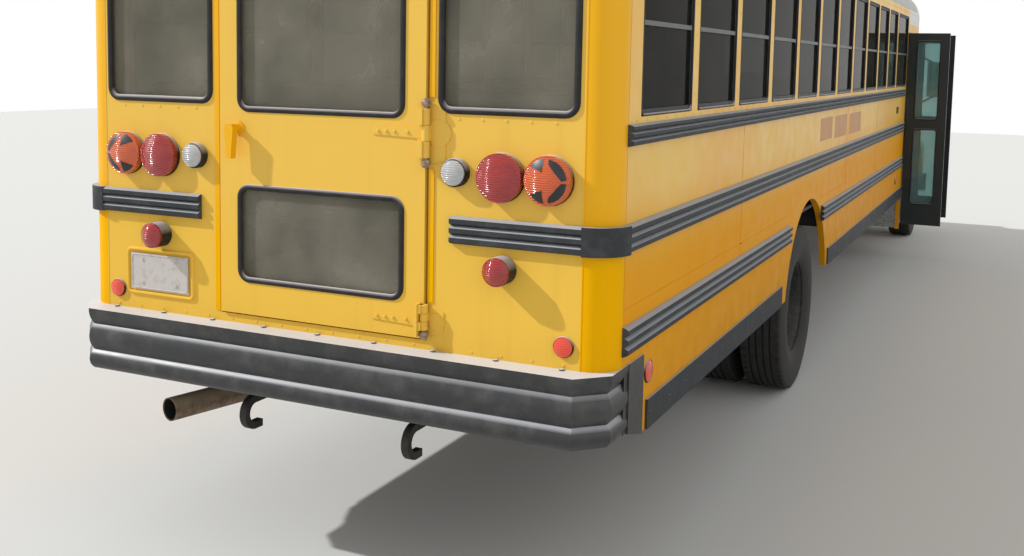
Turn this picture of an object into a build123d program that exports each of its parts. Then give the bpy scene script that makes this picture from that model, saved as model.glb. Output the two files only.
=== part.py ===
from build123d import *
import os

os.makedirs("parts", exist_ok=True)

# A conventional school bus. Lengths are millimetres.
# +X is the driver's side, +Y the rear, +Z up from the ground.
# "ahead" is a distance forward of the body's flat rear face.
rear_face_y = 5975.0

# Side windows, which set the body's length
first_window = 246.0
first_window_width = 635.5
window_pitch = 707.0
window_post = 86.0
window_count = 12
last_window_width = 879.5
window_low_z = 1882.0
window_height = 729.0
window_high_z = window_low_z + window_height
sash_split = 333.0
sash_width = 26.0
sash_bar = 18.0
sash_set = 5.0
sash_depth = 26.0
glass_set = 14.0
glass_thick = 6.0

first_post = first_window + first_window_width
last_window = first_post + (window_count - 2) * window_pitch + window_post
last_window_end = last_window + last_window_width

# Entrance doorway and its two leaves, which stand open
door_post_rear = 43.0
door_width = 826.0
door_edge_rear = last_window_end + door_post_rear
door_edge_front = door_edge_rear + door_width
door_head_drop = 161.0
door_top_z = window_high_z - door_head_drop
leaf_low_z = 418.0
leaf_top_gap = 8.0
leaf_high_z = door_top_z - leaf_top_gap
leaf_axis_out = 6.0
leaf_axis_gap = 6.0
leaf_tip_gap = 14.0
leaf_width = (door_width - leaf_tip_gap) / 2 - leaf_axis_gap
leaf_thick = 35.0
leaf_set = 2.0
leaf_hinge_heights = (1150.0, 1700.0, 2250.0)
leaf_hinge_length = 120.0
leaf_glass_in = 88.0
leaf_glass_width = 232.0
leaf_glass_heights = ((641.0, 1434.0), (1538.0, 2360.0))
driver_window_rear = 30.0
driver_window_front = 60.0

# Body form
body_half = 1194.0
wall = 40.0
skirt_z = 703.0
floor_z = 1020.0
floor_thick = 30.0
window_band = 79.0
eave_rise = 160.0
roof_rise = 195.0
roof_seam_z = window_high_z + window_band
shoulder_z = roof_seam_z + eave_rise
roof_top_z = shoulder_z + roof_rise
eave_radius = 300.0
rear_corner_radius = 110.0
rear_cap_radius = 180.0
front_corner_radius = 160.0
front_cap_radius = 320.0
rear_seam = 190.0
front_post = 94.0
cowl_depth = 300.0
front_seam = door_edge_front + front_post
cowl_front = front_seam + cowl_depth
windshield_base_z = 1590.0
header_drop = 111.0
header_z = window_high_z - header_drop
header_setback = 110.0
brow_setback = 65.0
windshield_margin = (70.0, 80.0)
windshield_z = (windshield_base_z + windshield_margin[0], header_z - windshield_margin[1])
windshield_panes = ((-1060.0, -25.0), (25.0, 1060.0))

# Stepwell and the posts that stand beside it below the skirt
step_low_z = 372.0
step_thick = 12.0
step_out = body_half - wall
step_in = 560.0
step_count = 3
door_post_width = 32.0
door_post_low_z = 364.0

# Rear emergency door and rear windows
exit_half = 467.0
exit_low_z = floor_z + 28.0
exit_high_z = 2480.0
exit_gap = 8.0
exit_proud = 12.0
exit_thick = 40.0
exit_axis_x = exit_half + exit_gap
exit_axis_out = 24.0
exit_window_half = 372.0
exit_windows = ((1185.0, 1560.0), (1862.0, 2420.0))
exit_glass_set = 4.0
exit_hinges = ((1055.0, 1174.0), (1687.0, 1925.0))
hinge_pin_r = 8.0
hinge_barrel_r = 14.0
hinge_run = 0.3
hinge_strap = 90.0
hinge_plate = 60.0
window_radius = 45.0
rear_window_in = 522.0
rear_window_out = 1051.0
rear_window_low_z = 1888.0
rear_window_high_z = exit_high_z
lever_x = (362.0, 392.0)
lever_z = (1672.0, 1800.0)
lever_reach = 40.0

# Rub rails: low z, high z
rail_rise = 24.0
rail_base = 9.0
rail_ribs = 3
rail_end = door_edge_rear - 173.0
top_rail_z = (window_low_z - 99.0, window_low_z - 22.0)
middle_rail_z = (1410.0, 1512.0)
low_rail_z = (1044.0, 1150.0)
rail_arch_gap = (2986.0, 4047.0)
strip_height = 115.0
strip_thick = 10.0
strip_runs = ((392.0, 2830.0), (4360.0, door_edge_rear - 20.0))
wrap_rail_end_x = 573.0

# Rear bumper
bumper_rib_z = (748.0, 828.0, 938.0, 990.0)
bumper_top_z = 1005.0
bumper_out = 1200.0
bumper_reach = 100.0
bumper_facet = 105.0
bumper_groove = 20.0
bumper_brow = 6.0
bumper_skin = 10.0
bumper_ledge = 110.0
bumper_side_end = 185.0
bumper_cap = 8.0
bumper_plate_end = 340.0
bumper_arm_z = (780.0, 898.0)

# Wheels: 11R22.5 tyres on disc wheels
wheel_r = 525.0
tread_half = 118.0
tyre_half = 140.0
tyre_bulge_r = 405.0
bead_r = 286.0
bead_half = 105.0
rim_wall = 12.0
hub_r = 95.0
spindle_r = 60.0
spindle_run = 0.3
track_half = 1005.0
dual_half = 680.0
rear_axle_ahead = 3690.0
axle_ahead_of_cowl = 970.0
front_axle_ahead = cowl_front + axle_ahead_of_cowl
rear_arch_r = 690.0
rear_arch_back = 50.0
rear_arch_z = 545.0

# Hood and fenders
hood_gap = 12.0
hood_length = 1738.0
hood_back = cowl_front + hood_gap
hood_front = hood_back + hood_length
hood_skin = 25.0
hood_half_rear = 800.0
hood_half_front = 560.0
hood_top_rear_z = 1545.0
hood_top_front_z = 1330.0
hood_low_z = 740.0
hood_corner = 150.0
fender_in = 548.0
fender_out = 1160.0
fender_top_z = 1192.0
fender_low_z = 700.0
fender_nose_r = 230.0
front_arch_r = 640.0
hood_pivot_back = 80.0
hood_pivot_ahead = hood_front - hood_pivot_back
hood_pivot_z = 760.0
hood_pin_r = 12.0
ear_thick = 14.0
ear_gap = 20.0
grille_half = 430.0
grille_z = (820.0, 1230.0)
grille_frame = 30.0
grille_bars = 7
front_bumper_z = (480.0, 708.0)
front_bumper_back = hood_front + 40.0
front_bumper_deep = 80.0
front_bumper_face = front_bumper_back + front_bumper_deep
front_bumper_skin = 10.0

# Chassis
rail_out = 432.0
rail_in = 356.0
frame_drop = 120.0
frame_rail_height = 254.0
rail_high_z = floor_z - frame_drop
rail_low_z = rail_high_z - frame_rail_height
rail_web = 8.0
frame_rear = 250.0
frame_front = hood_front - 90.0
crossmember_first = 260.0
crossmember_pitch = 1400.0
crossmember_thick = 10.0
crossmember_height = 122.0
beam_first = 560.0
beam_width = 60.0
housing_ahead = 560.0
housing_back = 660.0
housing_rise = 150.0
housing_in = 520.0
housing_skin = 20.0
spring_width = 76.0
spring_camber = 50.0
spring_thick = 20.0
rear_spring_half = 700.0
front_spring_half = 530.0
spring_pad = 15.0
hanger_half = 30.0
beam_low_z = wheel_r - 55.0
beam_high_z = wheel_r + 25.0
beam_half = 45.0
axle_r = 70.0
kingpin_half = 850.0
kingpin_r = 40.0
kingpin_bolt_r = 16.0
kingpin_eye = 80.0
engine_half = 330.0
engine_back = 150.0
engine_length = 900.0
engine_height = 670.0
gearbox_half = 200.0
gearbox_length = 550.0
gearbox_height = 320.0
engine_low_z = rail_low_z - 26.0
engine_rear = cowl_front + engine_back
gearbox_rear = engine_rear - gearbox_length
shaft_r = 45.0
shaft_z = 702.0
tank_in = 470.0
tank_side_gap = 94.0
tank_rear = 5400.0
tank_length = 1500.0
tank_height = 400.0
tank_drop = 20.0
pipe_r = 50.0
pipe_wall = 4.0
pipe_bore = 150.0
pipe_x = 235.0
pipe_z = 600.0
silencer_r = 110.0
silencer_length = 1100.0
hook_x = 364.0
hook_thick = 30.0
hook_r = 70.0
hook_bar = 30.0
hook_ahead = 7.0
hook_z = 620.0
hook_root = 340.0
hook_lip = 43.0

# Seats
seat_count = 12
seat_first = 270.0
seat_aisle_half = 164.0
cushion_low_z = floor_z + 310.0
cushion_top_z = cushion_low_z + 130.0
seat_top_z = cushion_top_z + 500.0
cushion_length = 400.0
seat_back_thick = 95.0
seat_rake = 60.0
leg_in = 60.0
leg_width = 40.0
leg_start = 120.0
leg_length = 220.0

# Driver's place, set from the seam ahead of the doorway
driver_x = 550.0
driver_seat_z = floor_z + 280.0
driver_cushion_z = driver_seat_z + 120.0
driver_back_z = driver_cushion_z + 580.0
wheel_ring_r = 220.0
wheel_ring_bar = 15.0
wheel_centre = (280.0, 1700.0)
column_foot = (60.0, 1510.0)
dash_z = (1500.0, 1590.0)

# Lamps and plate
plate_place = (792.0, 1168.0)
plate_size = (304.0, 152.0)
plate_hole_r = 3.5
plate_hole_pitch = 178.0
warning_r = 89.0
warning_z = 2680.0
red_warning_x = 900.0
amber_warning_x = 640.0
headlamp_x = 860.0
headlamp_z = 870.0
headlamp_deep = 16.0
# Lamps on the rear face: x, z, radius, depth
red_table = (
    (772.0, 1662.0, 89.0, 42.0),
    (778.0, 1334.0, 52.0, 60.0),
    (1020.0, 1085.0, 38.0, 12.0),
    (red_warning_x, warning_z, warning_r, 40.0),
)
amber_table = ((957.0, 1663.0, 89.0, 42.0), (amber_warning_x, warning_z, warning_r, 40.0))
clear_table = ((592.0, 1670.0, 52.0, 26.0),)

# Mirrors
mirror_gap = 96.0
mirror_size = (210.0, 50.0, 400.0)
mirror_z = 1950.0
mirror_arm_r = 12.0

# Stop sign
stop_axis_out = 43.0
stop_axis_ahead = door_edge_rear + 50.0
stop_reach = 310.0
stop_z = 1640.0
stop_r = 243.0
stop_thick = 6.0
stop_lug_z = (84.0, 100.0)
stop_pin_r = 6.0
stop_barrel_r = 10.0

clear = 0.3


def y_at(ahead):
    return rear_face_y - ahead


def block(x0, x1, ahead0, ahead1, z0, z1):
    """A box between two corners, with lengths taken ahead of the rear face."""
    size = (abs(x1 - x0), abs(ahead1 - ahead0), abs(z1 - z0))
    return Pos((x0 + x1) / 2, y_at((ahead0 + ahead1) / 2), (z0 + z1) / 2) * Box(*size)


def both(piece):
    """The piece and its mirror image on the other side of the bus."""
    return [piece, mirror(piece, about=Plane.YZ)]


def fuse(pieces):
    total = pieces[0]
    for piece in pieces[1:]:
        total = total + piece
    return total


def compound(pieces):
    """Separate solids kept together as one sub-part."""
    return Compound(children=[item for piece in pieces for item in piece.solids()])


def rod(start, end, radius):
    """A round bar between two points."""
    first = Vector(*start)
    along = Vector(*end) - first
    plane = Plane(origin=first, z_dir=along)
    return extrude(plane * Circle(radius), amount=along.length)


def closed_face(plane, points):
    """A closed face of straight lines in a plane."""
    with BuildSketch(plane) as section:
        with BuildLine():
            Polyline(*points, close=True)
        make_face()
    return section.sketch


def turned(outline, centre):
    """A solid of revolution about the X axis through centre, from (x, radius) points."""
    return Pos(0, centre[0], centre[1]) * revolve(closed_face(Plane.XY, outline), axis=Axis.X)


def side_prism(points, x0, x1):
    """An (ahead, z) outline carried across the bus from x0 to x1."""
    face = closed_face(Plane.YZ.offset(x0), [(y_at(ahead), z) for ahead, z in points])
    return extrude(face, amount=x1 - x0)


def body_solid(inset, bottom_z=skirt_z):
    """The closed body form, set in all round: cross-section, plan and side outline meet."""
    half = body_half - inset
    shoulder = shoulder_z - inset
    top = roof_top_z - inset
    with BuildSketch(Plane.XZ.offset(-rear_face_y)) as section:
        with BuildLine():
            Polyline((-half, shoulder), (-half, bottom_z), (half, bottom_z), (half, shoulder))
            ThreePointArc((half, shoulder), (0, top), (-half, shoulder))
        make_face()
        fillet(section.vertices().sort_by(Axis.Y)[-2:], eave_radius - inset)
    across = extrude(section.sketch, amount=cowl_front)

    rear, front = y_at(inset), y_at(cowl_front - inset)
    with BuildSketch() as plan:
        with BuildLine():
            Polyline((-half, front), (half, front), (half, rear), (-half, rear), close=True)
        make_face()
        fillet(plan.vertices().sort_by(Axis.Y)[-2:], rear_corner_radius - inset)
        fillet(plan.vertices().sort_by(Axis.Y)[:2], front_corner_radius - inset)
    upright = Pos(0, 0, bottom_z) * extrude(plan.sketch, amount=roof_top_z)

    with BuildSketch(Plane.YZ.offset(-body_half)) as side:
        with BuildLine():
            Polyline(
                (front, bottom_z),
                (front, windshield_base_z),
                (front + header_setback, header_z),
                (front + header_setback + brow_setback, top),
                (rear, top),
                (rear, bottom_z),
                close=True,
            )
        make_face()
        tops = side.vertices().sort_by(Axis.Y)[-2:].sort_by(Axis.X)
        fillet(tops[-1], rear_cap_radius - inset)
        tops = side.vertices().sort_by(Axis.Y)[-2:].sort_by(Axis.X)
        fillet(tops[0], min(front_cap_radius, roof_top_z - header_z - wall) - inset)
    lengthwise = extrude(side.sketch, amount=2 * body_half)
    return across & upright & lengthwise


def layer(outer_inset, thickness):
    """A skin that lies a set depth inside the body's surface."""
    return body_solid(outer_inset) - body_solid(outer_inset + thickness, skirt_z - wall)


def pane_hole(x0, x1, z0, z1, ahead0, ahead1, radius):
    """A window hole with rounded corners, cut along the bus."""
    frame = Plane.XZ.offset(-y_at(ahead0))
    sketch = frame * Pos((x0 + x1) / 2, (z0 + z1) / 2) * RectangleRounded(abs(x1 - x0), z1 - z0, radius)
    return extrude(sketch, amount=ahead1 - ahead0)


def window_spans(side):
    """Start and end of each window along one side, ahead of the rear face."""
    spans = [(first_window, first_post)]
    for index in range(window_count - 2):
        start = first_post + window_post + index * window_pitch
        spans.append((start, start + window_pitch - window_post))
    spans.append((last_window, last_window_end))
    if side > 0:
        spans.append((door_edge_rear + driver_window_rear, front_seam - driver_window_front))
    return spans


def sash_lights():
    """Heights of the two panes in a sash."""
    split_z = window_low_z + sash_split
    return (
        (window_low_z + sash_width, split_z - sash_bar / 2),
        (split_z + sash_bar / 2, window_high_z - sash_width),
    )


skin = layer(0.0, wall)
glass_sheet = layer(glass_set, glass_thick)


def plate_low_edge():
    """Ends (ahead, z) of the sloping lower edge that the bumper's side plate shares with the skirt."""
    return (bumper_side_end - bumper_cap, bumper_rib_z[0]), (bumper_plate_end, skirt_z)


def side_wall(side):
    """One side of the body, from skirt to roof seam, with its windows and wheel arch."""
    x0, x1 = side * step_in, side * (body_half + wall)
    panel = skin & block(x0, x1, rear_seam, front_seam, skirt_z, roof_seam_z)
    for start, end in window_spans(side):
        panel -= block(x0, x1, start, end, window_low_z, window_high_z)
    arch = Pos(side * body_half, y_at(rear_axle_ahead - rear_arch_back), rear_arch_z)
    panel -= arch * Rot(0, 90, 0) * Cylinder(rear_arch_r, 4 * wall)
    (back, high), (ahead, low) = plate_low_edge()
    panel -= side_prism([(back, high), (ahead, low), (ahead, low - wall), (back, low - wall)], x0, x1)
    if side > 0:
        return panel
    panel -= block(x0, x1, door_edge_rear, door_edge_front, 0, door_top_z)
    for start in (door_edge_rear - door_post_width, door_edge_front):
        post = block(-body_half, -step_out, start, start + door_post_width, door_post_low_z, skirt_z)
        panel = panel + post
    window_panel = block(x0, x1, 0, door_edge_rear, 0, roof_top_z)
    header = block(x0, x1, door_edge_rear, front_seam, door_top_z, roof_top_z)
    front_jamb = block(x0, x1, door_edge_rear, front_seam, 0, door_top_z)
    return compound([panel & part for part in (window_panel, header, front_jamb)])


def rear_wall():
    """The rounded rear end above the bumper, with the doorway and two side windows."""
    panel = skin & block(-body_half, body_half, 0, rear_seam, bumper_top_z, roof_top_z)
    opening = exit_half + exit_gap
    panel -= block(-opening, opening, -wall, 2 * wall, exit_low_z - exit_gap, exit_high_z + exit_gap)
    for hole in both(rear_window()):
        panel -= hole
    return panel


def rear_window():
    """Hole of the driver's side rear window."""
    heights = (rear_window_low_z, rear_window_high_z)
    return pane_hole(rear_window_in, rear_window_out, *heights, -wall, 2 * wall, window_radius)


def windshield_holes():
    return [
        pane_hole(x0, x1, *windshield_z, front_seam + wall, cowl_front + wall, window_radius)
        for x0, x1 in windshield_panes
    ]


def front_wall():
    """Firewall, windshield frame and front cap, open below for the engine."""
    panel = skin & block(-body_half, body_half, front_seam, cowl_front, skirt_z, roof_top_z)
    for hole in windshield_holes():
        panel -= hole
    tunnel = rail_out + ear_gap
    return panel - block(-tunnel, tunnel, front_seam, cowl_front + wall, 0, floor_z - floor_thick)


def roof_shell():
    return skin & block(-body_half, body_half, rear_seam, front_seam, roof_seam_z, roof_top_z)


def wheel_housing():
    """The raised box over a pair of rear wheels, and the space inside it."""
    low, high = rear_axle_ahead - housing_back, rear_axle_ahead + housing_ahead
    under, top = floor_z - floor_thick, floor_z + housing_rise
    outer = block(housing_in, step_out, low, high, under, top)
    inside = (housing_in + housing_skin, step_out, low + housing_skin, high - housing_skin)
    return outer, block(*inside, under, top - housing_skin)


def floor_deck():
    """Floor sheet, the beams under it and the wheel housings, welded together."""
    half = body_half - wall
    under = floor_z - floor_thick
    deck = block(-half, half, wall, cowl_front - wall, under, floor_z)
    beams = int((front_seam - 2 * window_pitch) / window_pitch)
    for index in range(beams):
        ahead = beam_first + index * window_pitch
        over_wheels = abs(ahead - rear_axle_ahead) < rear_arch_r
        reach = rail_out + beam_width if over_wheels else half
        deck += block(-reach, reach, ahead, ahead + beam_width, rail_high_z, under)
    outer, hollow = wheel_housing()
    for housing, space in zip(both(outer), both(hollow)):
        deck = deck + housing - space
    deck -= block(-body_half, -step_in, door_edge_rear, door_edge_front, 0, floor_z + wall)
    deck -= block(-body_half, -step_in, door_edge_rear - step_thick, door_edge_front + step_thick, 0, under)
    return deck & body_solid(wall, skirt_z - wall)


def stepwell():
    """Steps up from the doorway in a folded tray, closed by a plate at each end."""
    run = (step_out - step_in) / step_count
    rise = (floor_z - step_low_z) / (step_count + 1)
    under = floor_z - floor_thick
    outline = []
    for index in range(step_count):
        z = step_low_z + (index + 1 if index else 0) * rise
        outline += [(step_out - index * run, z), (step_out - (index + 1) * run, z)]
    tops = [(-x, z + step_thick) for x, z in outline]
    tops.append((-step_in, under))
    lows = [(-step_in + step_thick, under)]
    for index, (x, z) in reversed(list(enumerate(outline))):
        lows.append((-x + (step_thick if index else 0.0), z))
    face = closed_face(Plane.XZ.offset(-y_at(door_edge_rear)), tops + lows)
    well = extrude(face, amount=door_edge_front - door_edge_rear)
    for start in (door_edge_rear - step_thick, door_edge_front):
        well = well + block(-step_out, -step_in + step_thick, start, start + step_thick, step_low_z, under)
    return well


def ribbed_outline(low, high):
    """Points (out, z) of a pressed rail: flat base with trapezoid ribs."""
    pitch = (high - low) / rail_ribs
    points = [(0.0, low)]
    for index in range(rail_ribs):
        start = low + index * pitch
        points += [(rail_base, start + 0.04 * pitch), (rail_rise, start + 0.26 * pitch)]
        points += [(rail_rise, start + 0.74 * pitch), (rail_base, start + 0.96 * pitch)]
    points.append((0.0, high))
    return points


def run_along_side(points, start, end):
    """A profile carried forward along the driver's side."""
    face = closed_face(Plane.XZ.offset(-y_at(start)), [(body_half + out, z) for out, z in points])
    return extrude(face, amount=end - start)


def run_round_corner(points):
    """The same profile turned through the rear corner, from the side towards the rear face."""
    radius = rear_corner_radius
    face = closed_face(Plane.XZ, [(radius + out, z) for out, z in points])
    centre = Pos(body_half - radius, y_at(radius), 0)
    return centre * revolve(face, axis=Axis.Z, revolution_arc=90)


def run_across_rear(points, x0, x1):
    """The same profile carried across the rear face."""
    face = closed_face(Plane.YZ.offset(x0), [(rear_face_y + out, z) for out, z in points])
    return extrude(face, amount=x1 - x0)


def rub_rails():
    """Pressed rails and flat skirt strips along both sides."""
    corner = rear_corner_radius
    rails = [run_along_side(ribbed_outline(*top_rail_z), corner, rail_end)]
    middle = ribbed_outline(*middle_rail_z)
    rail = run_along_side(middle, corner, rail_end) + run_round_corner(middle)
    rails.append(rail + run_across_rear(middle, wrap_rail_end_x, body_half - corner))
    low = ribbed_outline(*low_rail_z)
    rails.append(run_along_side(low, corner, rail_arch_gap[0]))
    rails.append(run_along_side(low, rail_arch_gap[1], rail_end))
    flat = [(0.0, skirt_z), (strip_thick, skirt_z)]
    flat += [(strip_thick, skirt_z + strip_height), (0.0, skirt_z + strip_height)]
    for start, end in strip_runs:
        rails.append(run_along_side(flat, start, end))
    return compound([copy for rail in rails for copy in both(rail)])


def bumper_face(filled=False):
    """Section of the rear bumper at its side end: ribbed sheet with a ledge along its top."""
    groove = bumper_out - bumper_groove
    inner = groove - bumper_skin
    back = groove - bumper_ledge
    low, under = bumper_rib_z[0], bumper_top_z - bumper_skin
    brow_low, brow_high = bumper_rib_z[2:]
    with BuildSketch(Plane.XZ.offset(-y_at(bumper_side_end))) as section:
        with BuildLine():
            for z0, z1 in zip(bumper_rib_z[:2], bumper_rib_z[1:3]):
                ThreePointArc((groove, z0), (bumper_out, (z0 + z1) / 2), (groove, z1))
            brow = (bumper_out - bumper_brow, (brow_low + brow_high) / 2)
            ThreePointArc((groove, brow_low), brow, (bumper_out, brow_high))
            Polyline((bumper_out, brow_high), (bumper_out, bumper_top_z), (back, bumper_top_z))
            if filled:
                Polyline((back, bumper_top_z), (back, low), (groove, low))
            else:
                Polyline((back, bumper_top_z), (back, under), (inner, under), (inner, low), (groove, low))
        make_face()
    return section.sketch


def rear_bumper():
    """Ribbed bumper across the rear, bevelled at both corners and carried onto the sides, on two arms."""
    line = [(bumper_out, bumper_side_end), (bumper_out, bumper_facet - bumper_reach)]
    line.append((bumper_out - bumper_facet, -bumper_reach))
    line += [(-x, ahead) for x, ahead in reversed(line)]
    with BuildLine() as path:
        Polyline(*[(x, y_at(ahead)) for x, ahead in line])
    sheet = sweep(bumper_face(), path=path.wire(), transition=Transition.RIGHT)
    end = extrude(bumper_face(filled=True), amount=-bumper_cap)
    low_edge = plate_low_edge()
    plate = [(ahead, bumper_top_z) for ahead, z in low_edge] + list(reversed(low_edge))
    end = end + side_prism(plate, body_half, body_half + bumper_cap)
    reach = bumper_reach - bumper_groove - bumper_skin
    end = end + block(rail_in, rail_out, -reach, frame_rear, *bumper_arm_z)
    floor_edge = block(rail_out, step_out, wall, bumper_side_end, floor_z - floor_thick, floor_z)
    bumper = fuse([sheet] + both(end))
    for space in both(floor_edge):
        bumper -= space
    return bumper


def window_sashes():
    """Two-light sash frames in every side window."""
    band = layer(sash_set, sash_depth)
    frames = []
    for side in (-1, 1):
        x0, x1 = side * step_in, side * (body_half + wall)
        for start, end in window_spans(side):
            frame = band & block(x0, x1, start, end, window_low_z, window_high_z)
            for low, high in sash_lights():
                frame -= block(x0, x1, start + sash_width, end - sash_width, low, high)
            frames.append(frame)
    return compound(frames)


def body_glass():
    """Panes in the sashes and the rear windows."""
    panes = [glass_sheet & hole for hole in both(rear_window())]
    for side in (-1, 1):
        x0, x1 = side * step_in, side * body_half
        for start, end in window_spans(side):
            for low, high in sash_lights():
                panes.append(glass_sheet & block(x0, x1, start + sash_width, end - sash_width, low, high))
    return compound(panes)


def windshield_glass():
    return compound([glass_sheet & hole for hole in windshield_holes()])


def emergency_door():
    """The rear door leaf, with its two rounded windows cut."""
    leaf = block(-exit_half, exit_half, -exit_proud, exit_thick - exit_proud, exit_low_z, exit_high_z)
    for low, high in exit_windows:
        leaf -= pane_hole(-exit_window_half, exit_window_half, low, high, -wall, 2 * wall, window_radius)
    return leaf


def emergency_glass():
    across = (-exit_window_half, exit_window_half)
    deep = (exit_glass_set, exit_glass_set + glass_thick)
    return compound([pane_hole(*across, low, high, *deep, window_radius) for low, high in exit_windows])


def hinge_drum(low, high, radius):
    """A round length of an emergency door hinge, on its axis."""
    centre = Pos(-exit_axis_x, rear_face_y + exit_axis_out, (low + high) / 2)
    return centre * Cylinder(radius, high - low)


def emergency_fittings():
    """Lever handle and the door's half of each hinge."""
    face = -exit_proud
    lever = block(*lever_x, face - lever_reach, face - 0.55 * lever_reach, *lever_z)
    lever += block(*lever_x, face - 0.55 * lever_reach, face, lever_z[1] - 40, lever_z[1])
    pieces = [lever]
    for low, high in exit_hinges:
        third = (high - low) / 3
        z0, z1 = low + third, high - third
        strap = block(-exit_axis_x, -exit_half + hinge_strap, face - 6, face, z0, z1)
        pieces.append(strap + hinge_drum(z0, z1, hinge_barrel_r) - hinge_drum(z0, z1, hinge_pin_r + hinge_run))
    return compound(pieces)


def hinge_brackets():
    """The body's half of each emergency door hinge, with its pin."""
    pieces = []
    for low, high in exit_hinges:
        third = (high - low) / 3
        bracket = hinge_drum(low - 8, high + 8, hinge_pin_r)
        for z0, z1 in ((low, low + third - 1), (high - third + 1, high)):
            bracket += hinge_drum(z0, z1, hinge_barrel_r)
            bracket += block(-exit_axis_x - 9, -exit_axis_x - 1, -exit_axis_out, 0, z0, z1)
            bracket += block(-exit_axis_x - hinge_plate, -exit_axis_x - 1, -8, 0, z0, z1)
        pieces.append(bracket)
    return compound(pieces)


def leaf_block(end, across0, across1, deep0, deep1, z0, z1):
    """A box on an open entrance leaf: across from its hinge, deep into the doorway."""
    edge, turn = (door_edge_rear, 1) if end == "rear" else (door_edge_front, -1)
    x = -(body_half + leaf_axis_out)
    return block(x - across0, x - across1, edge + turn * deep0, edge + turn * deep1, z0, z1)


def entrance_leaf(end):
    """One leaf of the entrance door, standing open at a right angle to the body."""
    across = (leaf_axis_gap, leaf_axis_gap + leaf_width)
    leaf = leaf_block(end, *across, leaf_set, leaf_set + leaf_thick, leaf_low_z, leaf_high_z)
    for low, high in leaf_glass_heights:
        leaf -= leaf_block(end, leaf_glass_in, leaf_glass_in + leaf_glass_width, 0, 2 * leaf_thick, low, high)
    edge = door_edge_rear if end == "rear" else door_edge_front
    half = leaf_hinge_length / 2
    for z in leaf_hinge_heights:
        leaf += leaf_block(end, 0, leaf_axis_gap + 4, 0, 5, z - half, z + half)
        leaf += Pos(-(body_half + leaf_axis_out), y_at(edge), z) * Cylinder(leaf_axis_out - clear, 2 * half)
    return leaf


def entrance_glass(end):
    middle = leaf_set + leaf_thick / 2
    deep = (middle - glass_thick / 2, middle + glass_thick / 2)
    across = (leaf_glass_in, leaf_glass_in + leaf_glass_width)
    return compound([leaf_block(end, *across, *deep, low, high) for low, high in leaf_glass_heights])


def tyre(centre_x):
    """Outline of a road tyre on the X axis, centred at centre_x."""
    outline = [(bead_half, bead_r), (tyre_half, tyre_bulge_r), (tread_half, wheel_r)]
    outline += [(-x, r) for x, r in reversed(outline)]
    return [(centre_x + x, r) for x, r in outline]


def front_rim():
    """Front disc wheel: flange, drop barrel, dished disc and hub."""
    mid = track_half
    return [
        (mid + bead_half, bead_r),
        (mid + bead_half, bead_r - rim_wall),
        (mid + 30, bead_r - 2 * rim_wall),
        (mid + 55, hub_r),
        (mid + 120, hub_r - 20),
        (mid + 120, spindle_r + spindle_run),
        (mid - 40, spindle_r + spindle_run),
        (mid - 40, hub_r + 40),
        (mid - 10, bead_r - 2 * rim_wall),
        (mid - bead_half, bead_r - rim_wall),
        (mid - bead_half, bead_r),
    ]


def rear_rims():
    """The pair of rear wheels, bolted together at their discs."""
    outer, inner, mate = track_half, dual_half, (track_half + dual_half) / 2
    return [
        (outer + bead_half, bead_r),
        (outer + bead_half, bead_r - rim_wall),
        (outer - 80, bead_r - 2 * rim_wall),
        (mate + 12, 2 * hub_r),
        (mate + 12, hub_r + 15),
        (outer + 60, hub_r),
        (outer + 60, spindle_r + spindle_run),
        (inner + 40, spindle_r + spindle_run),
        (inner + 40, 2 * hub_r),
        (inner - bead_half, bead_r - rim_wall),
        (inner - bead_half, bead_r),
        (inner + bead_half, bead_r),
        (inner + bead_half, bead_r - rim_wall),
        (outer - bead_half, bead_r - rim_wall),
        (outer - bead_half, bead_r),
    ]


def crossmember_places():
    """Where the frame's crossmembers stand: an even pitch, as far as the gearbox."""
    count = int((gearbox_rear - crossmember_first - crossmember_thick) / crossmember_pitch) + 1
    return [crossmember_first + index * crossmember_pitch for index in range(count)]


def rear_spring_low():
    return wheel_r + axle_r + spring_pad


def silencer_span():
    """Rear and front end of the silencer, which hangs from the fifth crossmember."""
    front = crossmember_places()[4] + crossmember_thick + clear + 90
    return front - silencer_length, front


def frame_rails():
    """Two channel rails, each with its front bumper arm, joined by crossmembers."""
    pieces = []
    for side in (-1, 1):
        x_web, x_lip = side * rail_out, side * rail_in
        along = (frame_rear, frame_front)
        pieces.append(block(x_web - side * rail_web, x_web, *along, rail_low_z, rail_high_z))
        pieces.append(block(x_lip, x_web, *along, rail_high_z - rail_web, rail_high_z))
        pieces.append(block(x_lip, x_web, *along, rail_low_z, rail_low_z + rail_web))
        arm = (frame_front - 100, front_bumper_face - front_bumper_skin)
        pieces.append(block(x_lip, x_web, *arm, rail_low_z - 86, rail_low_z))
    high = rail_high_z - rail_web
    for ahead in crossmember_places():
        along = (ahead, ahead + crossmember_thick)
        pieces.append(block(1 - rail_out, rail_out - 1, *along, high - crossmember_height, high))
    return fuse(pieces)


def spring_hangers(side):
    """Blocks that carry the spring ends: beside the rail at the rear, under it in front."""
    pieces = []
    rise = spring_camber + spring_thick
    for turn in (-1, 1):
        ahead = rear_axle_ahead + turn * (rear_spring_half - hanger_half)
        along = (ahead - hanger_half, ahead + hanger_half)
        x = (side * rail_out, side * (rail_out + spring_width))
        pieces.append(block(*x, *along, rear_spring_low() + rise, rail_high_z - 130))
        ahead = front_axle_ahead + turn * (front_spring_half - hanger_half)
        along = (ahead - hanger_half, ahead + hanger_half)
        pieces.append(block(side * rail_in, side * rail_out, *along, beam_high_z + rise, rail_low_z))
    return pieces


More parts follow.
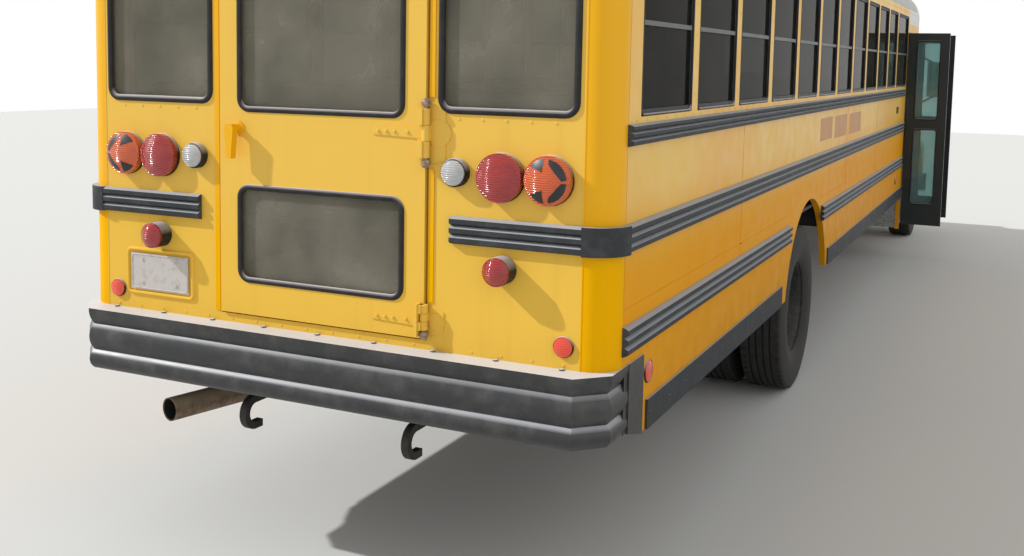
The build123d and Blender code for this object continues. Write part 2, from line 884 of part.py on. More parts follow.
def tow_hook(side):
    """A flat forged hook and its root block inside the end of a frame rail."""
    centre = (y_at(hook_ahead + hook_r), hook_z)
    with BuildSketch(Plane.YZ.offset(hook_x)) as section:
        with Locations(centre):
            Circle(hook_r)
            Circle(hook_r - hook_bar, mode=Mode.SUBTRACT)
        with Locations((centre[0] - hook_r, centre[1])):
            Rectangle(2 * hook_r, 2 * hook_r + 1, mode=Mode.SUBTRACT)
        with Locations((centre[0] - hook_lip / 2, hook_z - hook_r + hook_bar / 2)):
            Rectangle(hook_lip, hook_bar)
    hook = extrude(section.sketch, amount=hook_thick)
    low, high = hook_z + hook_r - hook_bar, bumper_arm_z[0]
    hook = hook + block(hook_x, hook_x + hook_thick, hook_ahead + hook_r, hook_root, low, high)
    hook = hook + block(hook_x, rail_out - rail_web, frame_rear, hook_root, low, high)
    return hook if side > 0 else mirror(hook, about=Plane.YZ)


def chassis_frame():
    """The frame with its spring hangers, engine and tank brackets, hood pivots and tow hooks."""
    pieces = [frame_rails()]
    mount = engine_rear + 220
    for side in (-1, 1):
        pieces += spring_hangers(side)
        pieces.append(block(side * engine_half, side * rail_in, mount, mount + 100, rail_low_z + 54, rail_low_z + 134))
        pieces.append(tow_hook(side))
        lug = (side * rail_out, side * (rail_out + 12), hood_pivot_ahead - 150, hood_pivot_ahead + 25)
        pieces.append(block(*lug, hood_pivot_z - 40, hood_pivot_z + 40))
        pin = Pos(side * (rail_out + 30), y_at(hood_pivot_ahead), hood_pivot_z)
        pieces.append(pin * Rot(0, 90, 0) * Cylinder(hood_pin_r, 60))
    for ahead in (tank_rear + 0.2 * tank_length, tank_rear + 0.8 * tank_length):
        pieces.append(block(rail_out, tank_in, ahead - 40, ahead + 40, rail_high_z - 200, rail_high_z - 40))
    hanger = crossmember_places()[4]
    low, high = pipe_z + silencer_r + clear, rail_high_z - rail_web - crossmember_height
    pieces.append(block(pipe_x - 10, pipe_x + 10, hanger, hanger + crossmember_thick, low, high))
    x, ahead, z = exhaust_route()[-2]
    low = z + pipe_r + 0.8
    pieces.append(block(x - 10, x + 10, ahead - 5, ahead + 5, low, rail_low_z))
    return fuse(pieces)


def front_bumper():
    """A deep steel channel across the front."""
    low, high = front_bumper_z
    thick = front_bumper_skin
    across = (-body_half, body_half)
    outer = block(*across, front_bumper_back, front_bumper_face, low, high)
    return outer - block(*across, front_bumper_back, front_bumper_face - thick, low + thick, high - thick)


def hood_section(ahead, half, top, low, radius):
    plane = Plane.XZ.offset(-y_at(ahead))
    with BuildSketch(plane) as section:
        with BuildLine():
            Polyline((-half, low), (half, low), (half, top), (-half, top), close=True)
        make_face()
        fillet(section.vertices().sort_by(Axis.Y)[-2:], radius)
    return section.sketch


def hood_loft(inset, low):
    """Hood form between its rear and front sections, set in by a depth."""
    radius = hood_corner - inset
    return loft([
        hood_section(hood_back, hood_half_rear - inset, hood_top_rear_z - inset, low, radius),
        hood_section(hood_front, hood_half_front - inset, hood_top_front_z - inset, low, radius),
    ])


def fender_side_view():
    """Fender outline seen from the side, rounded at the nose, across the whole bus."""
    back, nose = y_at(hood_back), y_at(hood_front)
    with BuildSketch(Plane.YZ.offset(-fender_out)) as section:
        with BuildLine():
            Polyline((back, fender_low_z), (back, fender_top_z), (nose, fender_top_z), (nose, fender_low_z), close=True)
        make_face()
        fillet(section.vertices().sort_by(Axis.Y)[-2:].sort_by(Axis.X)[0], fender_nose_r)
    return extrude(section.sketch, amount=2 * fender_out)


def fender_front_view():
    """Fender outline seen from the front, rounded at its outer top edge."""
    low, high = fender_low_z, fender_top_z
    with BuildSketch(Plane.XZ.offset(-y_at(cowl_front))) as section:
        with BuildLine():
            Polyline((fender_in, low), (fender_out, low), (fender_out, high), (fender_in, high), close=True)
        make_face()
        fillet(section.vertices().sort_by(Axis.Y)[-2:].sort_by(Axis.X)[-1], hood_corner)
    return extrude(section.sketch, amount=hood_front - cowl_front)


def hood_shell():
    """Tilting hood with both fenders, one moulding, and its two pivot ears."""
    side_view = fender_side_view()
    fenders = [side_view & piece for piece in both(fender_front_view())]
    hollow = hood_loft(hood_skin, hood_low_z - 100)
    hollow = hollow & block(-body_half, body_half, hood_back, hood_front - hood_skin, 0, roof_top_z)
    hood = fuse([hood_loft(0.0, hood_low_z)] + fenders) - hollow
    axle = Pos(0, y_at(front_axle_ahead), wheel_r) * Rot(0, 90, 0)
    hood = hood - axle * Cylinder(front_arch_r, 3 * body_half)
    hood -= block(-grille_half, grille_half, hood_front - 60, hood_front + 20, *grille_z)
    for side in (-1, 1):
        x0 = side * (rail_out + ear_gap)
        x1 = x0 + side * ear_thick
        ear = block(x0, x1, hood_pivot_ahead - 26, hood_front - 5, hood_pivot_z - 20, hood_pivot_z + 40)
        bore = Pos((x0 + x1) / 2, y_at(hood_pivot_ahead), hood_pivot_z) * Rot(0, 90, 0)
        hood = hood + ear - bore * Cylinder(hood_pin_r + clear, 3 * ear_thick)
    return hood


def grille():
    """Frame with level bars, in the hood's front opening."""
    low, high = grille_z
    half = grille_half - grille_frame
    frame = block(-grille_half, grille_half, hood_front - 40, hood_front - 10, low, high)
    frame -= block(-half, half, hood_front - 50, hood_front, low + grille_frame, high - grille_frame)
    pitch = (high - low - 2 * grille_frame) / (grille_bars + 1)
    for index in range(grille_bars):
        z = low + grille_frame + (index + 1) * pitch
        frame += block(-half, half, hood_front - 34, hood_front - 16, z - 7, z + 7)
    return frame


def lamp(x, z, radius, deep, ahead=0.0, facing=1):
    """A round lamp: a short drum with a coned lens, facing the rear or the front."""
    plane = Plane(origin=(x, y_at(ahead), z), x_dir=(1, 0, 0), z_dir=(0, facing, 0))
    drum = extrude(plane * Circle(radius), amount=0.4 * deep)
    return drum + extrude(plane.offset(0.4 * deep) * Circle(radius), amount=0.6 * deep, taper=50)


def seats():
    """Bench seats in two files, each a cushion and back in one."""
    benches = []
    for index in range(seat_count):
        back = seat_first + index * window_pitch
        front = back + seat_back_thick + seat_rake
        outline = (
            (back, seat_top_z),
            (back + seat_back_thick, seat_top_z),
            (front, cushion_top_z),
            (front + cushion_length, cushion_top_z),
            (front + cushion_length, cushion_low_z),
            (back + seat_rake, cushion_low_z),
        )
        benches += both(side_prism(outline, seat_aisle_half, step_out))
    return compound(benches)


def seat_frames():
    """Aisle-side legs of the benches."""
    legs = []
    x = seat_aisle_half + leg_in
    for index in range(seat_count):
        start = seat_first + seat_rake + index * window_pitch + leg_start
        legs += both(block(x, x + leg_width, start, start + leg_length, floor_z, cushion_low_z))
    return compound(legs)


def engine_block():
    """Engine and gearbox, closed in, as two plain blocks."""
    high = engine_low_z + engine_height
    engine = block(-engine_half, engine_half, engine_rear, engine_rear + engine_length, engine_low_z, high)
    low = engine_low_z + 20
    return engine + block(-gearbox_half, gearbox_half, gearbox_rear, engine_rear, low, low + gearbox_height)


def rear_axle():
    """Axle tube with its differential housing, spindles and spring pads."""
    bowl, neck, end = 190.0, 250.0, track_half + 55
    shoulder = dual_half - 40
    half = [(end, 0), (end, spindle_r), (shoulder, spindle_r), (shoulder, axle_r), (neck, axle_r), (90, bowl)]
    outline = half + [(-x, r) for x, r in reversed(half)]
    axle = turned(outline, (y_at(rear_axle_ahead), wheel_r))
    for side in (-1, 1):
        x = (side * rail_out, side * (rail_out + spring_width))
        axle = axle + block(*x, rear_axle_ahead - 60, rear_axle_ahead + 60, wheel_r, rear_spring_low())
    return axle


def kingpin_axis(side):
    return Pos(side * kingpin_half, y_at(front_axle_ahead), wheel_r)


def front_axle():
    """Dropped beam with an eye at each end for the steering knuckle's pin."""
    neck = kingpin_half - 210
    half, low, high = kingpin_eye / 2, wheel_r - kingpin_eye / 2, wheel_r + kingpin_eye / 2
    along = (front_axle_ahead - beam_half, front_axle_ahead + beam_half)
    beam = block(-neck, neck, *along, beam_low_z, beam_high_z)
    for side in (-1, 1):
        beam += block(side * neck, side * (kingpin_half - kingpin_r - 8), *along, beam_low_z, beam_low_z + 100)
        root = (side * (kingpin_half - 90), side * kingpin_half)
        beam += block(*root, front_axle_ahead - half, front_axle_ahead + half, low, high)
        beam += kingpin_axis(side) * Cylinder(kingpin_r, kingpin_eye)
        beam -= kingpin_axis(side) * Cylinder(kingpin_bolt_r + clear, 3 * kingpin_eye)
    return beam


def knuckle(side):
    """Steering knuckle: forked round the axle eye, with the wheel spindle."""
    x, y = side * kingpin_half, y_at(front_axle_ahead)
    reach, jaw = kingpin_eye / 2 + 60, kingpin_eye / 2 + 7
    along = (front_axle_ahead - 40, front_axle_ahead + 40)
    mouth = block(x - side * 60, x + side * 50, along[0] - 20, along[1] + 20, wheel_r - jaw, wheel_r + jaw)
    spindle = rod((x + side * 60, y, wheel_r), (side * (track_half + 100), y, wheel_r), spindle_r)
    yoke = block(x - side * 30, x + side * 85, *along, wheel_r - reach, wheel_r + reach) - mouth
    pin = kingpin_axis(side) * Cylinder(kingpin_bolt_r, 2 * reach)
    return pin + yoke + spindle


def leaf_springs():
    """Four bowed springs, on pads on the rear axle and on the front beam."""
    springs = []
    for ahead, half, x0, low in (
        (rear_axle_ahead, rear_spring_half, rail_out, rear_spring_low()),
        (front_axle_ahead, front_spring_half, rail_in, beam_high_z),
    ):
        y, tip = y_at(ahead), low + spring_camber
        top = tip + spring_thick
        with BuildSketch(Plane.YZ.offset(x0)) as section:
            with BuildLine():
                ThreePointArc((y - half, tip), (y, low), (y + half, tip))
                Line((y + half, tip), (y + half, top))
                ThreePointArc((y + half, top), (y, low + spring_thick), (y - half, top))
                Line((y - half, top), (y - half, tip))
            make_face()
        springs += both(extrude(section.sketch, amount=spring_width))
    return compound(springs)


def exhaust_route():
    """Points (x, ahead, z) of the pipe: over the rear axle and out to the left of the bumper."""
    over = wheel_r + 275
    return (
        (pipe_x, silencer_span()[1] + 100, pipe_z),
        (pipe_x, rear_axle_ahead + 610, pipe_z),
        (pipe_x, rear_axle_ahead + 310, over),
        (pipe_x, rear_axle_ahead - 340, over),
        (pipe_x + 55, rear_axle_ahead - 890, pipe_z - 10),
        (430.0, 1500.0, 578.0),
        (790.0, 40.0, 575.0),
    )


def exhaust():
    """Silencer and tailpipe, the pipe's end bored."""
    route = [Vector(x, y_at(ahead), z) for x, ahead, z in exhaust_route()]
    with BuildLine() as path:
        FilletPolyline(*route, radius=3 * pipe_r)
    start = Plane(origin=route[0], z_dir=route[1] - route[0])
    pipe = sweep(start * Circle(pipe_r), path=path.wire())
    rear, front = silencer_span()
    drum = rod((pipe_x, y_at(rear), pipe_z), (pipe_x, y_at(front), pipe_z), silencer_r)
    inward = (route[-2] - route[-1]).normalized() * pipe_bore
    return pipe + drum - rod(route[-1], route[-1] + inward, pipe_r - pipe_wall)


def door_mirrors():
    """Mirror heads on arms, one each side of the windshield."""
    width, deep, height = mirror_size
    x, ahead = body_half + mirror_gap, cowl_front + 80
    low, high = mirror_z - height / 2, mirror_z + height / 2
    head = block(x, x + width, ahead, ahead + deep, low, high)
    middle, y = x + width / 2, y_at(ahead + deep / 2)
    upper = rod((body_half - 144, y_at(cowl_front - 130), mirror_z + 350), (middle, y, high - 30), mirror_arm_r)
    lower = rod((body_half - 94, y_at(cowl_front - 100), mirror_z - 350), (middle, y, low + 20), mirror_arm_r)
    return compound(both(head + upper + lower - body_solid(0.0)))


def stop_arm():
    """Octagon sign folded flat against the driver's side, on its hinge barrel."""
    axis_x = body_half + stop_axis_out
    half, lug = stop_thick / 2, stop_lug_z[0]
    plane = Plane(origin=(axis_x - half, y_at(stop_axis_ahead - stop_reach), stop_z), x_dir=(0, 1, 0), z_dir=(1, 0, 0))
    sign = extrude(plane * RegularPolygon(stop_r, 8, rotation=22.5), amount=stop_thick)
    arm = block(axis_x - half, axis_x + half, stop_axis_ahead - 120, stop_axis_ahead, stop_z - 80, stop_z + 80)
    pivot = Pos(axis_x, y_at(stop_axis_ahead), stop_z)
    barrel = pivot * Cylinder(stop_barrel_r, 2 * lug - 2)
    return sign + arm + barrel - pivot * Cylinder(stop_pin_r + clear, 2 * lug - 2)


def stop_arm_base():
    """Actuator box on the side, with the lugs and pin that carry the sign."""
    axis_x = body_half + stop_axis_out
    inner, outer = stop_lug_z
    along = (stop_axis_ahead - 40, stop_axis_ahead + 40)
    base = block(body_half, axis_x - stop_barrel_r - 1, *along, stop_z - outer, stop_z + outer)
    for low, high in ((-outer, -inner), (inner, outer)):
        lug = (body_half, axis_x + stop_barrel_r, stop_axis_ahead - 10, stop_axis_ahead + 10)
        base += block(*lug, stop_z + low, stop_z + high)
    return base + Pos(axis_x, y_at(stop_axis_ahead), stop_z) * Cylinder(stop_pin_r, 2 * outer)


def rear_lamps(table):
    """Round lamps on both halves of the rear face, from rows of (x, z, radius, depth)."""
    return [copy for x, z, radius, deep in table for copy in both(lamp(x, z, radius, deep))]


def front_lamps(x):
    """A pair of warning lamps seated on the leaning front cap."""
    piece = lamp(x, warning_z, warning_r, warning_r, cowl_front - header_setback - 60, -1)
    return both(piece - body_solid(0.0))


def headlamps():
    """Round lamps on the fenders' noses."""
    return compound(both(lamp(headlamp_x, headlamp_z, warning_r, headlamp_deep, hood_front, -1)))


def licence_plate():
    """A blank plate on its bracket, drilled for two bolts."""
    x, z = plate_place
    width, height = plate_size
    plate = block(x - width / 2, x + width / 2, -8, -6, z - height / 2, z + height / 2)
    plate += block(x - 120, x + 120, -6, 0, z - 20, z + 60)
    for turn in (-1, 1):
        hole = Pos(x + turn * plate_hole_pitch / 2, rear_face_y, z + 48) * Rot(90, 0, 0)
        plate -= hole * Cylinder(plate_hole_r, 2 * wall)
    return plate


def dashboard():
    """Shelf below the windshield with an instrument box before the driver."""
    low, high = dash_z
    shelf = block(80, 1030, front_seam - 60, cowl_front - wall, low, high)
    return shelf + block(driver_x - 300, driver_x + 300, front_seam - 100, front_seam - 60, low - 20, high + 30)


def steering_wheel():
    """Ring with a crossbar and hub on a leaning column."""
    back, z = wheel_centre
    foot_back, foot_z = column_foot
    top = (driver_x, y_at(front_seam - back), z)
    ring = revolve(Plane.XZ * Pos(wheel_ring_r, 0) * RegularPolygon(wheel_ring_bar, 6), axis=Axis.Z)
    wheel = ring + Box(2 * wheel_ring_r, 34, 12) + Cylinder(45, 40)
    column = rod(top, (driver_x, y_at(front_seam - foot_back), foot_z), 20)
    return Pos(*top) * Rot(35, 0, 0) * wheel + column - dashboard()


def driver_seat():
    """Pedestal, cushion and leaning back."""
    x, front = driver_x, front_seam
    base = block(x - 150, x + 150, front - 700, front - 400, floor_z, driver_seat_z)
    cushion = block(x - 230, x + 230, front - 800, front - 340, driver_seat_z, driver_cushion_z)
    outline = (
        (front - 860, driver_back_z),
        (front - 770, driver_back_z),
        (front - 710, driver_cushion_z),
        (front - 800, driver_cushion_z),
    )
    return base + cushion + side_prism(outline, x - 220, x + 220)


def radiator():
    """A plain core standing on the frame rails, behind the grille."""
    half = (rail_in + rail_out) / 2
    return block(-half, half, frame_front - 140, frame_front - 60, rail_high_z, rail_high_z + 330)


def driveshaft():
    """A tube from the gearbox to the differential housing."""
    start = (0, y_at(gearbox_rear), shaft_z)
    end = (0, y_at(rear_axle_ahead + 191), wheel_r)
    return rod(start, end, shaft_r) - engine_block()


def fuel_tank():
    high = rail_high_z - tank_drop
    along = (tank_rear, tank_rear + tank_length)
    return block(tank_in, body_half - tank_side_gap, *along, high - tank_height, high)


nodes = {
    "chassis_frame": chassis_frame(),
    "floor_deck": floor_deck(),
    "side_wall_left": side_wall(1),
    "side_wall_right": side_wall(-1),
    "rear_wall": rear_wall(),
    "front_wall": front_wall(),
    "roof_shell": roof_shell(),
    "stepwell": stepwell(),
    "rub_rails": rub_rails(),
    "rear_bumper": rear_bumper(),
    "front_bumper": front_bumper(),
    "window_sashes": window_sashes(),
    "body_glass": body_glass(),
    "windshield_glass": windshield_glass(),
    "seats": seats(),
    "seat_frames": seat_frames(),
    "driver_seat": driver_seat(),
    "dashboard": dashboard(),
    "steering_wheel": steering_wheel(),
    "exit_hinge_brackets": hinge_brackets(),
    "licence_plate": licence_plate(),
    "engine_block": engine_block(),
    "radiator": radiator(),
    "driveshaft": driveshaft(),
    "fuel_tank": fuel_tank(),
    "rear_axle": rear_axle(),
    "front_axle": front_axle(),
    "leaf_springs": leaf_springs(),
    "exhaust": exhaust(),
    "door_mirrors": door_mirrors(),
    "emergency_door": emergency_door(),
    "emergency_door_glass": emergency_glass(),
    "emergency_door_fittings": emergency_fittings(),
    "entrance_leaf_rear": entrance_leaf("rear"),
    "entrance_glass_rear": entrance_glass("rear"),
    "entrance_leaf_front": entrance_leaf("front"),
    "entrance_glass_front": entrance_glass("front"),
    "hood_shell": hood_shell(),
    "grille": grille(),
    "headlamps": headlamps(),
    "stop_arm": stop_arm(),
    "stop_arm_base": stop_arm_base(),
    "steering_knuckle_left": knuckle(1),
    "steering_knuckle_right": knuckle(-1),
    "red_lamps": compound(rear_lamps(red_table) + front_lamps(red_warning_x)),
    "amber_lamps": compound(rear_lamps(amber_table) + front_lamps(amber_warning_x)),
    "clear_lamps": compound(rear_lamps(clear_table)),
}

front_centre = (y_at(front_axle_ahead), wheel_r)
rear_centre = (y_at(rear_axle_ahead), wheel_r)
wheels = {
    "front_tyre": turned(tyre(track_half), front_centre),
    "front_rim": turned(front_rim(), front_centre),
    "rear_tyres": compound([turned(tyre(x), rear_centre) for x in (track_half, dual_half)]),
    "rear_rims": turned(rear_rims(), rear_centre),
}
for name, shape in wheels.items():
    nodes[f"{name}_left"] = shape
    nodes[f"{name}_right"] = mirror(shape, about=Plane.YZ)

for name, shape in nodes.items():
    export_step(shape, f"parts/{name}.step")
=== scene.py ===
# %% [markdown]
# # A yellow school bus
# The CAD model is loaded as a fixed frame: every piece is already in its place, in metres.
# This script dresses it. It gives each part its finish and adds what is too fine for the solids:
# gaskets, rivets, lamp lenses, wheels with their tread and nuts, and padded benches.

# %% Load the frame
import math

import bmesh
import bpy
from mathutils import Matrix, Vector
from mathutils.bvhtree import BVHTree


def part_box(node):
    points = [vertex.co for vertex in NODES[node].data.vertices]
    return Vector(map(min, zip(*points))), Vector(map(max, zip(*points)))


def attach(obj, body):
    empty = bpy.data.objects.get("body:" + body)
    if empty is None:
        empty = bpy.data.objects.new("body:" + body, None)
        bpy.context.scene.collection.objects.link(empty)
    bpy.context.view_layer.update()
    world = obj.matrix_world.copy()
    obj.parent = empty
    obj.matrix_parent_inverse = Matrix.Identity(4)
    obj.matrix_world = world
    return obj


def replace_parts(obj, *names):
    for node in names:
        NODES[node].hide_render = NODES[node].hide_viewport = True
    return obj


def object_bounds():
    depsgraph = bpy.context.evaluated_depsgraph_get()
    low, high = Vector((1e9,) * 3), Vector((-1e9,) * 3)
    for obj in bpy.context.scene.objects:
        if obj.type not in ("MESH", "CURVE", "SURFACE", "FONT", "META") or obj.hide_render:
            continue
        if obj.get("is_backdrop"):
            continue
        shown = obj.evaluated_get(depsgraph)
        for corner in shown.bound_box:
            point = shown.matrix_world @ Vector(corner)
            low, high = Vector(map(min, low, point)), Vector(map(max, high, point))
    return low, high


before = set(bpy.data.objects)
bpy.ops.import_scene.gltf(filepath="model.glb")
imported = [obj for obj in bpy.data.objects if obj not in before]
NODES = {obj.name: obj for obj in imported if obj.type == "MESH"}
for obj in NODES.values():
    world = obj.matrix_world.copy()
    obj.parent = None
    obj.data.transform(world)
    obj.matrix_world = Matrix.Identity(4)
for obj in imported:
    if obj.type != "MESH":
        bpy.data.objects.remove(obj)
CAD_LOW, CAD_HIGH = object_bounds()
REAR_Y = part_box("rear_wall")[1][1]
SIDE_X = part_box("side_wall_left")[1][0]
print("nodes:", len(NODES), "box:", [round(v, 3) for v in CAD_LOW], [round(v, 3) for v in CAD_HIGH])

# %% [markdown]
# ## The camera
# The photo was taken from behind the bus, on the door side, with the camera about two metres up.
# The camera's place, its three axes and its focal length were fitted to points of known size.
# The photo is cropped off-centre, which a small vertical shift of the lens gives back.

# %% Camera
PHOTO_WIDTH, PHOTO_HEIGHT = 1024, 556
SENSOR = 36.0
FOCAL_PX = 1115.67
PRINCIPAL_Y_PX = 169.8
EYE = Vector((-2.4576, 9.4949, 2.0687))
RIGHT = Vector((-0.90466, -0.42574, 0.01848))
UP = Vector((0.05784, -0.07970, 0.99514))
FORWARD = Vector((0.42220, -0.90133, -0.09672))

camera_data = bpy.data.cameras.new("camera")
camera_data.sensor_width = SENSOR
camera_data.lens = SENSOR * FOCAL_PX / PHOTO_WIDTH
camera_data.shift_y = (PRINCIPAL_Y_PX - PHOTO_HEIGHT / 2) / PHOTO_WIDTH
camera_data.clip_end = 200.0
camera = bpy.data.objects.new("camera", camera_data)
bpy.context.scene.collection.objects.link(camera)
turn = Matrix((RIGHT, UP, -FORWARD)).transposed().to_4x4()
camera.matrix_world = Matrix.Translation(EYE) @ turn
bpy.context.scene.camera = camera
print("lens", round(camera_data.lens, 2), "shift", round(camera_data.shift_y, 4))

# %% [markdown]
# ## Tools for the finishes
# Colours are written as sRGB hex values, as a paint card gives them, and turned to linear light once.
# One function adds a node with its settings and links, so each finish below reads as a recipe. Links go
# to sockets by name, or in the node's own order, which keeps the many Math and Map Range nodes short.

# %% Colour and node helpers
COORDINATES, SPLIT, NOISE = "ShaderNodeTexCoord", "ShaderNodeSeparateXYZ", "ShaderNodeTexNoise"
MATHS, RANGE, MIX, BUMP = "ShaderNodeMath", "ShaderNodeMapRange", "ShaderNodeMix", "ShaderNodeBump"
# A Mix node's inputs for two colours, and its output for their blend.
COLOUR_A, COLOUR_B, BLEND = 6, 7, 2


def linear(hex_colour):
    """An sRGB hex colour as linear RGBA."""
    values = [int(hex_colour[i:i + 2], 16) / 255 for i in (1, 3, 5)]
    return [v / 12.92 if v <= 0.04045 else ((v + 0.055) / 1.055) ** 2.4 for v in values] + [1.0]


def feed(tree, node, links):
    """Give inputs values or other nodes' outputs. A node given as it is stands for its first output."""
    for socket, value in links.items() if isinstance(links, dict) else enumerate(links):
        if isinstance(value, bpy.types.Node):
            value = value.outputs[0]
        if isinstance(value, bpy.types.NodeSocket):
            tree.links.new(value, node.inputs[socket])
        else:
            node.inputs[socket].default_value = value


def add(tree, kind, links=(), **settings):
    """Add a node, set it up and feed its inputs, by name or in their order."""
    made = tree.nodes.new(kind)
    for name, value in settings.items():
        setattr(made, name, value)
    feed(tree, made, links)
    return made


def new_finish(name, values=()):
    """A material with one Principled shader; values go to its sockets."""
    material = bpy.data.materials.new(name)
    material.use_nodes = True
    tree = material.node_tree
    shader = tree.nodes["Principled BSDF"]
    feed(tree, shader, values)
    return material, tree, shader


def dress(material, *names):
    """Give CAD nodes a finish."""
    for name in names:
        mesh = NODES[name].data
        mesh.materials.clear()
        mesh.materials.append(material)


# %% [markdown]
# ## School-bus enamel
# The body is steel sheet sprayed with a glossy yellow enamel. Years in the sun chalk it a little,
# road water leaves brown film near the skirt and faint streaks run down from the windows.
# The noise sizes below are real: metres-wide fading, hand-wide blotches, finger-wide streaks.
# The front cap is white above the door, so the same paint turns white ahead of the last window.
# A painted picture could carry all this. Noise on the object's own coordinates is used instead, because
# it needs no unwrapping and keeps its size on every panel.

# %% Enamel
FRESH = "#EDAE04"
CAP_Y = REAR_Y - 9.0
CAP_Z = 2.54
POST_X, POST_Y = SIDE_X - 0.114, REAR_Y - 0.112
# The height of the skirt's foot, and the heights between which chalking and gloss set in.
SKIRT_Z, CHALK_Z, GLOSS_Z = 0.7, (1.3, 1.62), (1.36, 1.62)


def enamel(name, fresh, faded, film, film_top=1.15, film_share=0.5, cap=None, shine=0.3):
    """Paint that fades upward and at the rear, with a film of dirt below and thin streaks all over."""
    material, tree, shader = new_finish(name, {"Specular IOR Level": shine})
    place = add(tree, COORDINATES).outputs["Object"]
    axes = add(tree, SPLIT, (place,)).outputs
    wide = add(tree, NOISE, {"Vector": place, "Scale": 0.7, "Detail": 3.0})
    blotch = add(tree, NOISE, {"Vector": place, "Scale": 9.0, "Detail": 5.0})
    # The rounded posts at the rear corners were painted later and have kept their colour.
    across = add(tree, MATHS, (axes["X"],), operation="ABSOLUTE")
    at_corner = add(tree, MATHS, (across, POST_X), operation="GREATER_THAN")
    at_rear = add(tree, MATHS, (axes["Y"], POST_Y), operation="GREATER_THAN")
    post = add(tree, MATHS, (at_corner, at_rear), operation="MULTIPLY")
    elsewhere = add(tree, RANGE, (post, 0.0, 1.0, 1.0, 0.0))
    # Chalking sets in with height, in patches metres wide, and covers the rear face.
    patchy = add(tree, RANGE, (wide, 0.3, 0.6, 0.4, 1.0))
    chalk = add(tree, RANGE, (axes["Z"], *CHALK_Z, 0.1, 0.9))
    fade = add(tree, MATHS, (patchy, chalk), operation="MULTIPLY")
    rear = add(tree, RANGE, (axes["Y"], POST_Y, REAR_Y - 0.02, 0.0, 0.92))
    fade = add(tree, MATHS, (fade, rear), operation="MAXIMUM")
    fade = add(tree, MATHS, (fade, elsewhere), operation="MULTIPLY")
    colours = {0: post, COLOUR_A: linear(fresh), COLOUR_B: linear(FRESH)}
    kept = add(tree, MIX, colours, data_type="RGBA").outputs[BLEND]
    colours = {0: fade, COLOUR_A: kept, COLOUR_B: linear(faded)}
    paint = add(tree, MIX, colours, data_type="RGBA").outputs[BLEND]
    if cap:
        ahead = add(tree, RANGE, (axes["Y"], CAP_Y, CAP_Y - 0.001))
        ahead = add(tree, MATHS, (ahead, 0.5), operation="GREATER_THAN")
        above = add(tree, MATHS, (axes["Z"], CAP_Z), operation="GREATER_THAN")
        at_cap = add(tree, MATHS, (above, ahead), operation="MULTIPLY")
        colours = {0: at_cap, COLOUR_A: paint, COLOUR_B: linear(cap)}
        paint = add(tree, MIX, colours, data_type="RGBA").outputs[BLEND]
    # Splashed film lies low, in hand-wide blotches, and finger-wide streaks run down everywhere.
    stretch = add(tree, "ShaderNodeMapping", {"Vector": place, "Scale": (22.0, 22.0, 0.8)})
    streak = add(tree, NOISE, {"Vector": stretch, "Scale": 1.0, "Detail": 3.0})
    streak = add(tree, RANGE, (streak, 0.58, 0.82, 0.0, 0.16))
    splash = add(tree, RANGE, (axes["Z"], film_top, SKIRT_Z))
    splash = add(tree, MATHS, (splash, blotch), operation="MULTIPLY")
    dirt = add(tree, MATHS, (splash, streak), operation="ADD", use_clamp=True)
    dirt = add(tree, MATHS, (dirt, film_share), operation="MULTIPLY")
    colours = {0: dirt, COLOUR_A: paint, COLOUR_B: linear(film)}
    colour = add(tree, MIX, colours, data_type="RGBA").outputs[BLEND]
    # Road film takes the gloss from the lower panels.
    gloss = add(tree, RANGE, (axes["Z"], *GLOSS_Z, 0.02, shine))
    rough = add(tree, RANGE, (blotch, 0.3, 0.7, 0.28, 0.44))
    waves = add(tree, NOISE, {"Vector": place, "Scale": 2.6, "Detail": 1.0})
    bump = add(tree, BUMP, {"Height": waves, "Strength": 0.12, "Distance": 0.02})
    looks = {"Base Color": colour, "Roughness": rough, "Specular IOR Level": gloss, "Normal": bump}
    feed(tree, shader, looks)
    return material


# Yellow: sprayed enamel over steel sheet. Its slow waves bend the reflections, as real panels do.
YELLOW = enamel("yellow_enamel", "#E59A04", "#E8BE50", "#80602E", cap="#CDCDC8")
# Fresh yellow: the folded edges round the doorway, which were painted over and stay deep in colour. The
# lever's paddle wears it as painted shade on its face.
FRESH_AND_SHADED_YELLOW = enamel("fresh_and_shaded_yellow", FRESH, FRESH, "#80602E")
# White: the same enamel on the roof, greyed by rain.
WHITE = enamel("white_roof_enamel", "#BBBBB6", "#B4B5AF", "#8F8C80", film_top=3.3, film_share=0.25,
               shine=0.02)
print("enamels:", YELLOW.name, WHITE.name)

# %% [markdown]
# ## Black steel, rubber and dull metal
# The rub rails and bumpers are pressed steel in black enamel. Kerbs and hands scuff the crests, so a
# noise whose size is that of a scrape mixes in a paler grey. Faces that look up are paler again, with
# dust and with painted sunlight. Dull metal, rubber and vinyl wear the same way and differ only in
# colours, grain and gloss, so one recipe makes them all.

# %% Dark and dull finishes
GRIT_PER_METRE = 1000.0 / 6.0


